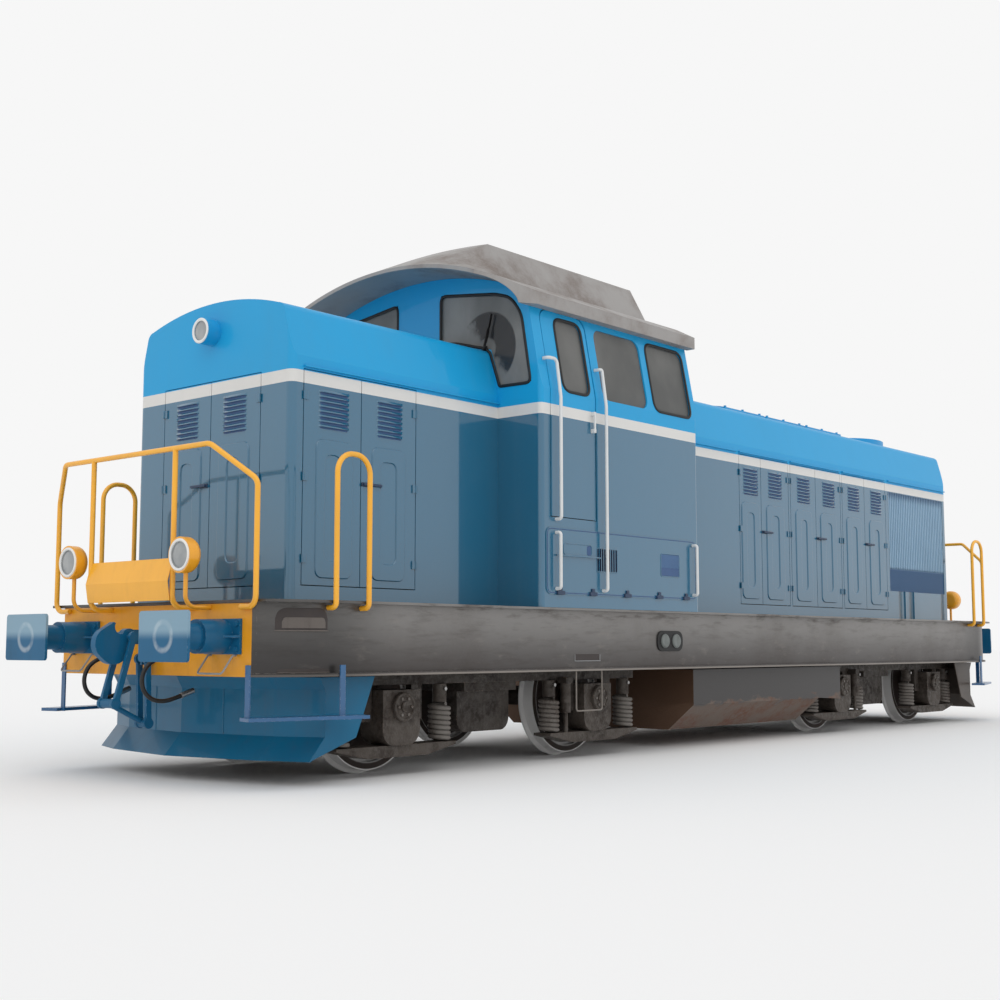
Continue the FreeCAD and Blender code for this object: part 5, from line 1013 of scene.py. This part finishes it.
# %% [markdown]
# ## Door louvres, pressings and handles
# Each door leaf is one sheet of steel. A press has raised a broad ring on it to keep it stiff, and cut and
# pushed out eight slats above that ring to let warm air out. A bump map would vanish along the outline,
# so both are real: the ring is a skin between outlines, and a slat is a wedge that the row tree repeats
# downwards. A plate of painted shade behind the slats stands for the dark open slots between them, and the
# slats' undersides carry the same painted shade.

# %% Door leaves
PRESSING_OUTER = (1.502, 2.557)
PRESSING_INNER = (1.635, 2.440)
PRESSING_RISE = 0.009
PRESSING_SLOPE = 0.006
PRESSING_SHARES = [(-0.2, -0.3), (0.0, 0.05), (0.25, 0.3), (0.75, 0.9), (1.0, 1.0), (1.5, 1.0), (2.5, 1.0)]
LOUVRE_TOP = 2.938
LOUVRE_PITCH = 0.038
LOUVRE_SHARE = 0.56
LOUVRE_OUT = 0.018
LOUVRE_TAPER = 0.03
LOUVRE_COUNT = 8
SLAT_TOP_OUT = 0.0005
SLAT_LIP = 0.004
SLAT_LIP_SHARE = 0.93
SLAT_SHEET = 0.003
HANDLE_HEIGHT = 2.248
HANDLE_LENGTH = 0.215

# Leaf: louvre span, pressing's outer span, its inner span, and where its handle starts, if it has one
SIDE_LEAVES = {
    "short_door_front": ((-5.552, -5.241), (-5.576, -5.200), (-5.484, -5.330), None),
    "short_door_rear": ((-4.943, -4.657), (-4.993, -4.625), (-4.904, -4.726), -5.105),
    "long_door_1a": ((0.576, 0.893), (0.535, 0.905), (0.641, 0.792), None),
    "long_door_1b": ((1.110, 1.415), (1.060, 1.448), (1.172, 1.331), 0.958),
    "long_door_2a": ((1.760, 2.068), (1.715, 2.090), (1.836, 1.970), None),
    "long_door_2b": ((2.367, 2.678), (2.305, 2.698), (2.428, 2.577), 2.203),
    "long_door_3a": ((3.008, 3.319), (2.963, 3.343), (3.085, 3.225), None),
    "long_door_3b": ((3.616, 3.918), (3.568, 3.955), (3.683, 3.823), 3.452),
}
FRONT_LEAF = ((0.155, 0.445), (0.110, 0.482), (0.220, 0.373))
FRONT_HANDLE = (0.020, 0.225)


def pressing(outer, inner, place):
    """A broad raised ring between two rounded outlines."""
    rim = soft_box(outer, PRESSING_OUTER, 0.075)
    well = soft_box(inner, PRESSING_INNER, 0.062)
    section = [(moved(rim, -PRESSING_SLOPE * across), PRESSING_RISE * out) for across, out in PRESSING_SHARES]
    section += [(moved(well, PRESSING_SLOPE * across), PRESSING_RISE * out)
                for across, out in reversed(PRESSING_SHARES)]
    return skin(section, place, ring=True)


def louvre_slat(span, place):
    """The topmost slat of a louvre: flush along its top, open along its foot, and drawn in at both ends."""
    start, end = span
    foot = LOUVRE_TOP - LOUVRE_PITCH * LOUVRE_SHARE
    rows = []
    for along, out in [(start, 0.0), (start + LOUVRE_TAPER, LOUVRE_OUT),
                       (end - LOUVRE_TAPER, LOUVRE_OUT), (end, 0.0)]:
        profile = [(LOUVRE_TOP, BURIED), (LOUVRE_TOP, SLAT_TOP_OUT), (foot + SLAT_LIP, out * SLAT_LIP_SHARE),
                   (foot, out), (foot + SLAT_SHEET, BURIED)]
        rows.append((profile, along))
    return drawn_along(rows, place)


def dress_leaf(leaf, place, louvre, outer, inner):
    """The pressing, the louvre and the painted shade of the slots of one leaf, which move with it."""
    add_piece(leaf + "_pressing", [pressing(outer, inner, place)], body_paint, leaf)
    grown(leaf + "_louvre", closed_mesh(leaf + "_slat", [louvre_slat(louvre, place)]), row_of_copies, leaf,
          "door_blue", Count=LOUVRE_COUNT, Step=(0.0, 0.0, -LOUVRE_PITCH), Finish=body_paint,
          Shaded_Finish=painted_slot_shade)
    # Painted shade: a dark plate behind the slats, for the open slots.
    slots = soft_box((louvre[0] + LOUVRE_TAPER / 2, louvre[1] - LOUVRE_TAPER / 2),
                     (LOUVRE_TOP - LOUVRE_PITCH * (LOUVRE_COUNT - 0.1), LOUVRE_TOP - 0.002), 0.004)
    add_piece(leaf + "_slots", [plate(slots, place, 0.0015, rounding=0.0005)], painted_slot_shade, leaf)


def door_handle(start, end, place):
    """A backing plate with a flat lever on it."""
    backing = soft_box((start, end), (HANDLE_HEIGHT - 0.017, HANDLE_HEIGHT + 0.017), 0.012)
    lever = soft_box((start + 0.008, end - 0.012), (HANDLE_HEIGHT - 0.010, HANDLE_HEIGHT + 0.010), 0.006)
    return [plate(backing, place, 0.008), plate(lever, place, 0.030)]


on_hood_front = end_wall(HOOD_FRONT)
for side_name, side in SIDES.items():
    wall = side_wall(HOOD_HALF, side)
    for leaf, (louvre, outer, inner, handle) in SIDE_LEAVES.items():
        leaf_name = f"{leaf}_{side_name}"
        dress_leaf(leaf_name, wall, louvre, outer, inner)
        if handle is not None:
            add_piece(leaf_name + "_handle", door_handle(handle, handle + HANDLE_LENGTH, wall),
                      handle_dark, leaf_name)
    louvre, outer, inner = [tuple(sorted(side * spot for spot in span)) for span in FRONT_LEAF]
    dress_leaf("front_door_" + side_name, on_hood_front, louvre, outer, inner)
add_piece("front_door_left_handle", door_handle(*FRONT_HANDLE, on_hood_front), handle_dark, "front_door_left")
print("dressed leaves:", 2 * len(SIDE_LEAVES) + 2)

# %% [markdown]
# ## Springs
# The axle boxes stand on wound steel springs. The CAD model holds their room with plain drums, so the
# drums are replaced by real coils of the same height and width. A curve with a Screw modifier would
# do too, but one tree winds all eight of a bogie from their seats.

# %% Springs
AXLES = {bogie: (end * BOGIE_CENTRE - HALF_WHEELBASE, end * BOGIE_CENTRE + HALF_WHEELBASE)
         for bogie, end in (("front", -1), ("rear", 1))}
SPRING_OFFSET = 0.55
SPRING_HALF = 1.05
SPRING_RADIUS = 0.095
SPRING_WIRE = 0.0195
SPRING_TURNS = 7.0
SPRING_LOW = 0.238
SPRING_HIGH = 0.550
GUIDE_BOLT_HALF = 1.114
GUIDE_BOLT_HEIGHT = 0.655
TOWARDS_SIDE = (math.radians(90.0), 0.0, 0.0)

for bogie, axles in AXLES.items():
    seats = [(axle + along, across, SPRING_LOW + SPRING_WIRE) for axle in axles
             for along in (-SPRING_OFFSET, SPRING_OFFSET) for across in (-SPRING_HALF, SPRING_HALF)]
    coils = grown(f"coil_springs_{bogie}", points_mesh("spring_seats", seats), wound_springs,
                  f"bogie_{bogie}", "spring_grey", Coil_Radius=SPRING_RADIUS - SPRING_WIRE,
                  Wire_Radius=SPRING_WIRE, Height=SPRING_HIGH - SPRING_LOW - 2 * SPRING_WIRE,
                  Turns=SPRING_TURNS, Finish=coil_steel)
    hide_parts(f"springs_{bogie}")
    for side_name, side in SIDES.items():
        spots = [(axle + along, side * GUIDE_BOLT_HALF, GUIDE_BOLT_HEIGHT) for axle in axles
                 for along in (-SPRING_OFFSET, SPRING_OFFSET)]
        grown(f"guide_bolts_{bogie}_{side_name}", points_mesh("bolt_places", spots), bolt_heads,
              f"bogie_{bogie}", "bare_steel", Radius=0.017, Height=0.020, Facing=TOWARDS_SIDE,
              Finish=bare_steel)
    triangles = sum(len(face.vertices) - 2 for face in coils.data.polygons)
    print(bogie, "springs:", len(seats), "triangles:", triangles)

# %% [markdown]
# ## Axle box covers
# A round cover closes each axle box, with a rim, a boss in its middle and a ring of six bolts. The cover
# itself is in the CAD model, so only these three are laid on its face, and the bolt tree takes the
# ring's points.

# %% Axle box covers
BOX_COVER_FACE = 1.209
COVER_RIM_RADIUS = 0.100
COVER_BOSS_RADIUS = 0.040
COVER_BOLT_RADIUS = 0.070
COVER_BOLTS = 6
for bogie, axles in AXLES.items():
    for side_name, side in SIDES.items():
        wall = side_wall(BOX_COVER_FACE, side)
        centres = [(axle, AXLE_HEIGHT) for axle in axles]
        rims = [bead(circle(centre, COVER_RIM_RADIUS), wall, 0.020, 0.008) for centre in centres]
        rims += [plate(circle(centre, COVER_BOSS_RADIUS), wall, 0.012) for centre in centres]
        add_piece(f"box_cover_rims_{bogie}_{side_name}", rims, box_iron, f"bogie_{bogie}")
        spots = [wall(spot.x, spot.y, 0.003) for centre in centres
                 for spot in circle(centre, COVER_BOLT_RADIUS, COVER_BOLTS)]
        grown(f"box_cover_bolts_{bogie}_{side_name}", points_mesh("bolt_places", spots), bolt_heads,
              f"bogie_{bogie}", "rust_brown", Radius=0.013, Height=0.018, Facing=TOWARDS_SIDE,
              Finish=coil_steel)
print("box covers:", len(SIDES) * sum(len(axles) for axles in AXLES.values()))

# %% [markdown]
# ## Window rubbers and wiper
# The panes sit in black rubber that stands a little proud of the sheet. A bead along the window's
# outline gives it, on the leaning side as well as on the flat front. The middle pane on each side
# slides in a channel and has none.

# %% Window rubbers
END_PANE = [(0.276, 3.725), (0.486, 3.695), (0.822, 3.605), (0.875, 3.560), (0.985, 3.246), (1.340, 3.240),
            (1.236, 3.862), (1.110, 4.025), (0.930, 4.078), (0.276, 4.165)]
END_PANE_RADII = [0.03, 0.2, 0.05, 0.05, 0.03, 0.05, 0.35, 0.35, 0.35, 0.06]
DOOR_PANE = [(-3.172, 3.197), (-2.790, 3.197), (-2.790, 3.860), (-3.172, 3.860)]
REAR_PANE = [(-1.790, 3.197), (-1.166, 3.197), (-1.166, 3.862), (-1.790, 3.862)]
SIDE_PANE_RADIUS = 0.10
RUBBER_WIDTH = 0.027
RUBBER_RISE = 0.010


def add_rubber(name, outline, place, body="frame"):
    """A rubber bead along a window's outline."""
    return add_piece(name, [bead(outline, place, RUBBER_WIDTH, RUBBER_RISE)], window_rubber, body)


for side_name, side in SIDES.items():
    wall = on_cab_side(side)
    add_rubber(f"door_rubber_{side_name}", soft_outline(DOOR_PANE, SIDE_PANE_RADIUS), wall,
               f"cab_door_{side_name}")
    add_rubber(f"rear_rubber_{side_name}", soft_outline(REAR_PANE, SIDE_PANE_RADIUS), wall)
    outline = soft_outline([(side * across, up) for across, up in END_PANE], END_PANE_RADII)
    add_rubber(f"front_rubber_{side_name}", outline, end_wall(CAB_FRONT))
    add_rubber(f"back_rubber_{side_name}", outline, end_wall(CAB_BACK, 1))
print("rubbers on each side: 4")

# %% Wiper
WIPER_TIP = (-0.902, 3.905)


def strip(start, end, width, place, thickness, base=0.0):
    """A straight flat bar between two spots on a wall."""
    start = mathutils.Vector(start)
    end = mathutils.Vector(end)
    across = (end - start).normalized().orthogonal() * width / 2
    outline = soft_outline([start - across, end - across, end + across, start + across], width * 0.3, steps=2)
    return plate(outline, place, thickness, base)


on_cab_front = end_wall(CAB_FRONT)
arm = strip(WIPER_FOOT, (-0.868, 3.775), 0.009, on_cab_front, 0.024, 0.012)
blade = strip((-0.836, 3.655), WIPER_TIP, 0.006, on_cab_front, 0.020, 0.004)
motor = strip((-0.806, 3.585), (-0.834, 3.628), 0.020, on_cab_front, 0.030)
add_piece("wiper", [arm, blade, motor], window_rubber)
print("wiper reach:", round((mathutils.Vector(WIPER_TIP) - mathutils.Vector(WIPER_FOOT)).length, 3))

# %% [markdown]
# ## Lamp rings
# A white ring holds each lens. It could be a torus, but the bead that the windows use, laid on a circle
# square to the track, gives a flat back that sits on the lamp.

# %% Lamp rings
MARKER_FACE = 6.610
MARKER_SPREAD = 0.710
MARKER_HEIGHT = 1.636
MARKER_RING = 0.106
HEADLAMP_FACES = {-1: 5.943, 1: 6.005}
HEADLAMP_HEIGHT = 3.466
HEADLAMP_RING = 0.090
rings = [bead(circle((spread, MARKER_HEIGHT), MARKER_RING), end_wall(MARKER_FACE, end), 0.021, 0.010)
         for end in (-1, 1) for spread in (-MARKER_SPREAD, MARKER_SPREAD)]
rings += [bead(circle((0.0, HEADLAMP_HEIGHT), HEADLAMP_RING), end_wall(face, end), 0.024, 0.009)
          for end, face in HEADLAMP_FACES.items()]
add_piece("lamp_rings", rings, lamp_white)
print("lamp rings:", len(rings))

# %% [markdown]
# ## On the cab's lower panel
# A long hinged panel closes the space below the cab. It carries five hinges, a foothold with a ledge, and
# two small air grilles, and a latch hangs on the door above it. The foothold and the grille slots are
# openings in the real sheet: here each is a plate of painted shade within a light edge, a few millimetres
# proud, because a CAD solid isn't cut by the scene. The panel's gap is a bead in the same painted shade.

# %% Lower panel
PANEL_PROUD = 0.008
PANEL_GAP = ((-3.415, -1.150), (1.445, 1.988))
LOWER_HINGES = (-3.246, -2.790, -2.277, -1.772, -1.324)
HINGE_LEAF = (0.050, (1.428, 1.462))
HINGE_KNUCKLE = (0.020, (1.440, 1.492))
FOOTHOLD = ((-3.195, -2.800), (1.772, 1.872))
FOOTHOLD_END = ((-2.868, -2.812), (1.780, 1.864))
FOOTHOLD_LEDGE = ((-3.310, -2.690), (1.758, 1.770))
GRILLE_UP = (1.642, 1.853)
FRONT_GRILLE = (-2.728, -2.425)
REAR_GRILLE = (-1.738, -1.432)
REAR_GRILLE_BACK = ((-1.733, -1.437), (1.647, 1.848))


def hinge_plates(shape, radius, wall, thickness):
    """One plate of the same half length and span of height at each hinge."""
    half, up = shape
    return [plate(soft_box((spot - half, spot + half), up, radius), wall, thickness) for spot in LOWER_HINGES]


for side_name, side in SIDES.items():
    wall = on_cab_side(side, PANEL_PROUD)
    hinges = hinge_plates(HINGE_LEAF, 0.010, wall, 0.018) + hinge_plates(HINGE_KNUCKLE, 0.008, wall, 0.012)
    add_piece(f"lower_panel_hinges_{side_name}", hinges, handle_dark)
    edges = [bead(soft_box(*FOOTHOLD, 0.035), wall, 0.012, 0.006),
             bead(soft_box(FRONT_GRILLE, GRILLE_UP, 0.02), wall, 0.010, 0.005),
             bead(soft_box(REAR_GRILLE, GRILLE_UP, 0.02), wall, 0.010, 0.005),
             plate(soft_box(*FOOTHOLD_LEDGE, 0.005), wall, 0.022)]
    add_piece(f"lower_panel_trim_{side_name}", edges, body_paint)
    # Painted shade: the foothold's dark end, the panel's gap and the back of the rear grille.
    openings = [plate(soft_box(*FOOTHOLD_END, 0.02), wall, 0.002),
                bead(soft_box(*PANEL_GAP, 0.055), wall, 0.008, 0.003),
                plate(soft_box(*REAR_GRILLE_BACK, 0.01), wall, 0.002)]
    add_piece(f"lower_panel_openings_{side_name}", openings, painted_slot_shade)
print("hinges on each panel:", len(LOWER_HINGES))

# %% Grille slots and fins
FIRST_SLOT = ((-2.718, -2.698), (1.650, 1.846))
SLOT_COUNT = 9
SLOT_STEP = (0.0335, 0.0, 0.0)
FIRST_FIN = ((-1.730, -1.724), (1.722, 1.846))
FIN_COUNT = 22
FIN_STEP = (0.0136, 0.0, 0.0)
for side_name, side in SIDES.items():
    wall = on_cab_side(side, PANEL_PROUD)
    slot_seed = closed_mesh("grille_slot", [plate(soft_box(*FIRST_SLOT, 0.005), wall, 0.002)])
    grown(f"grille_slots_{side_name}", slot_seed, row_of_copies, "frame", None, Count=SLOT_COUNT,
          Step=SLOT_STEP, Finish=slot_shadow, Shaded_Finish=slot_shadow)
    fin_seed = closed_mesh("grille_fin", [plate(soft_box(*FIRST_FIN, 0.002), wall, 0.004)])
    grown(f"grille_fins_{side_name}", fin_seed, row_of_copies, "frame", None, Count=FIN_COUNT,
          Step=FIN_STEP, Finish=grille_fin, Shaded_Finish=grille_fin)
print("slots and fins:", SLOT_COUNT, FIN_COUNT)

# %% Cab door latch
LATCH_PLACE = -2.775
LATCH_BAR = (2.880, 3.045)
LATCH_FOOT_SPAN = (-2.792, -2.758)
LATCH_FEET = ((2.868, 2.905), (3.020, 3.057))
for side_name, side in SIDES.items():
    wall = on_cab_side(side)
    latch = [strip((LATCH_PLACE, LATCH_BAR[0]), (LATCH_PLACE, LATCH_BAR[1]), 0.020, wall, 0.012, 0.030)]
    latch += [plate(soft_box(LATCH_FOOT_SPAN, foot, 0.008), wall, 0.040) for foot in LATCH_FEET]
    add_piece(f"cab_latch_{side_name}", latch, rail_white, f"cab_door_{side_name}")
print("latch feet:", len(LATCH_FEET))

# %% [markdown]
# ## On the sill
# The sill has a round-topped pocket near its end, a slot below it and another further back, for lifting
# and draining, and two fuel fillers side by side in a black frame. A flat plate would vanish where the
# sill turns in towards the headstock, so the pieces there are built from columns that follow the curve.

# %% Sill pockets and slots
# Where the sill curves: start, end, foot, top and the radius of the upper corners
POCKET = (-6.205, -5.822, 1.110, 1.262, 0.075)
POCKET_BACK = (-6.165, -5.842, 1.120, 1.196, 0.03)
POCKET_SHELF = (-6.210, -5.815, 1.098, 1.108, 0.003)
END_SLOT = (-6.190, -5.800, 0.812, 0.836, 0.008)
END_SLOT_SHELF = (-6.192, -5.798, 0.806, 0.815, 0.004)
# Where it is flat
DRAIN_SLOT = ((-2.965, -2.605), (0.870, 0.925))
DRAIN_LIP = [((-2.964, 0.922), (-2.964, 0.864), 0.008, 0.006),
             ((-2.968, 0.866), (-2.602, 0.866), 0.009, 0.008),
             ((-2.606, 0.864), (-2.606, 0.922), 0.008, 0.006)]
for side_name, side in SIDES.items():
    wall = on_sill(side)
    dark = [wrapped_plate(arched_columns(*POCKET), wall, 0.003),
            plate(soft_box(*DRAIN_SLOT, 0.02), wall, 0.002),
            wrapped_plate(arched_columns(*END_SLOT), wall, 0.003)]
    add_piece(f"sill_openings_{side_name}", dark, pocket_shadow)
    light = [wrapped_plate(arched_columns(*POCKET_BACK), wall, 0.005),
             wrapped_plate(arched_columns(*POCKET_SHELF), wall, 0.008),
             wrapped_plate(arched_columns(*END_SLOT_SHELF), wall, 0.007)]
    add_piece(f"sill_lips_{side_name}", light, pocket_ledge)
    lip = [strip(start, end, width, wall, thickness) for start, end, width, thickness in DRAIN_LIP]
    add_piece(f"slot_lip_{side_name}", lip, grip_grey)
print("sill openings on each side:", len(dark))

# %% Fuel fillers
FILLER_FRAME = ((-1.720, -1.300), (0.946, 1.136))
FILLER_CAPS = (-1.603, -1.417)
FILLER_CAP_HEIGHT = 1.041
FILLER_CAP_RADIUS = 0.066
for side_name, side in SIDES.items():
    wall = on_sill(side)
    add_piece(f"filler_frame_{side_name}", [plate(soft_box(*FILLER_FRAME, 0.09), wall, 0.012)], window_rubber)
    caps = [plate(circle((spot, FILLER_CAP_HEIGHT), FILLER_CAP_RADIUS), wall, 0.030, rounding=0.010)
            for spot in FILLER_CAPS]
    add_piece(f"filler_caps_{side_name}", caps, machine_grey)
print("filler caps on each side:", len(FILLER_CAPS))

# %% Buffer bolts
BUFFER_FLANGE = 6.357
FLANGE_BOLT_ACROSS = 0.165
FLANGE_BOLT_UP = 0.090
TOWARDS_END = (0.0, math.radians(90.0), 0.0)
for end, end_name in ((-1, "short"), (1, "long")):
    spots = [(end * BUFFER_FLANGE, side * BUFFER_SPREAD + across, BUFFER_HEIGHT + up) for side in (-1, 1)
             for across in (-FLANGE_BOLT_ACROSS, FLANGE_BOLT_ACROSS)
             for up in (-FLANGE_BOLT_UP, FLANGE_BOLT_UP)]
    grown(f"buffer_bolts_{end_name}", points_mesh("bolt_places", spots), bolt_heads, "frame", "buffer_blue",
          Radius=0.020, Height=0.016, Facing=TOWARDS_END, Finish=buffer_blue)
print("buffer bolts at each end:", len(spots))

# %% [markdown]
# ## Floor, backdrop and light
# The photograph stands the engine on a seamless pale floor in even studio light. The floor here is one
# large disc, and the world is a plain pale dome that also shows in paint and glass. A very wide sun
# adds a little form from above, with shadows too soft to have an edge.

# %% Floor, backdrop and light
FLOOR_RADIUS = 300.0
FLOOR_TONE = 0.955
BACKDROP = 0.93
DOME_LIGHT = 0.80
SUN_LIGHT = 0.55
SUN_WIDTH = math.radians(70.0)
SUN_TURN = (math.radians(28.0), math.radians(-24.0), 0.0)


def pale(tone):
    """A grey without any tint, as a linear colour."""
    return (tone, tone, tone, 1.0)


bpy.ops.mesh.primitive_circle_add(vertices=96, radius=FLOOR_RADIUS, fill_type="NGON")
floor = bpy.context.object
floor.name = "studio_floor"
floor_finish = new_finish("studio_floor", Roughness=1.0, Specular_IOR_Level=0.0, Base_Color=pale(FLOOR_TONE))
floor.data.materials.append(floor_finish[0])

world = bpy.data.worlds.new("studio")
bpy.context.scene.world = world
world.use_nodes = True
tree = world.node_tree
rays = tree.nodes.new("ShaderNodeLightPath").outputs
seen = arithmetic(tree, "MAXIMUM", rays["Is Camera Ray"], rays["Is Glossy Ray"])
seen = arithmetic(tree, "MAXIMUM", seen, rays["Is Transmission Ray"])
fill(tree, tree.nodes["Background"], Color=mixed(tree, seen, pale(DOME_LIGHT), pale(BACKDROP)))

sun_data = bpy.data.lights.new("soft_sun", "SUN")
sun_data.energy = SUN_LIGHT
sun_data.angle = SUN_WIDTH
sun = bpy.data.objects.new("soft_sun", sun_data)
sun.rotation_euler = SUN_TURN
bpy.context.scene.collection.objects.link(sun)
bpy.context.scene.view_settings.view_transform = "Standard"
print("lamp and dome:", SUN_LIGHT, DOME_LIGHT)
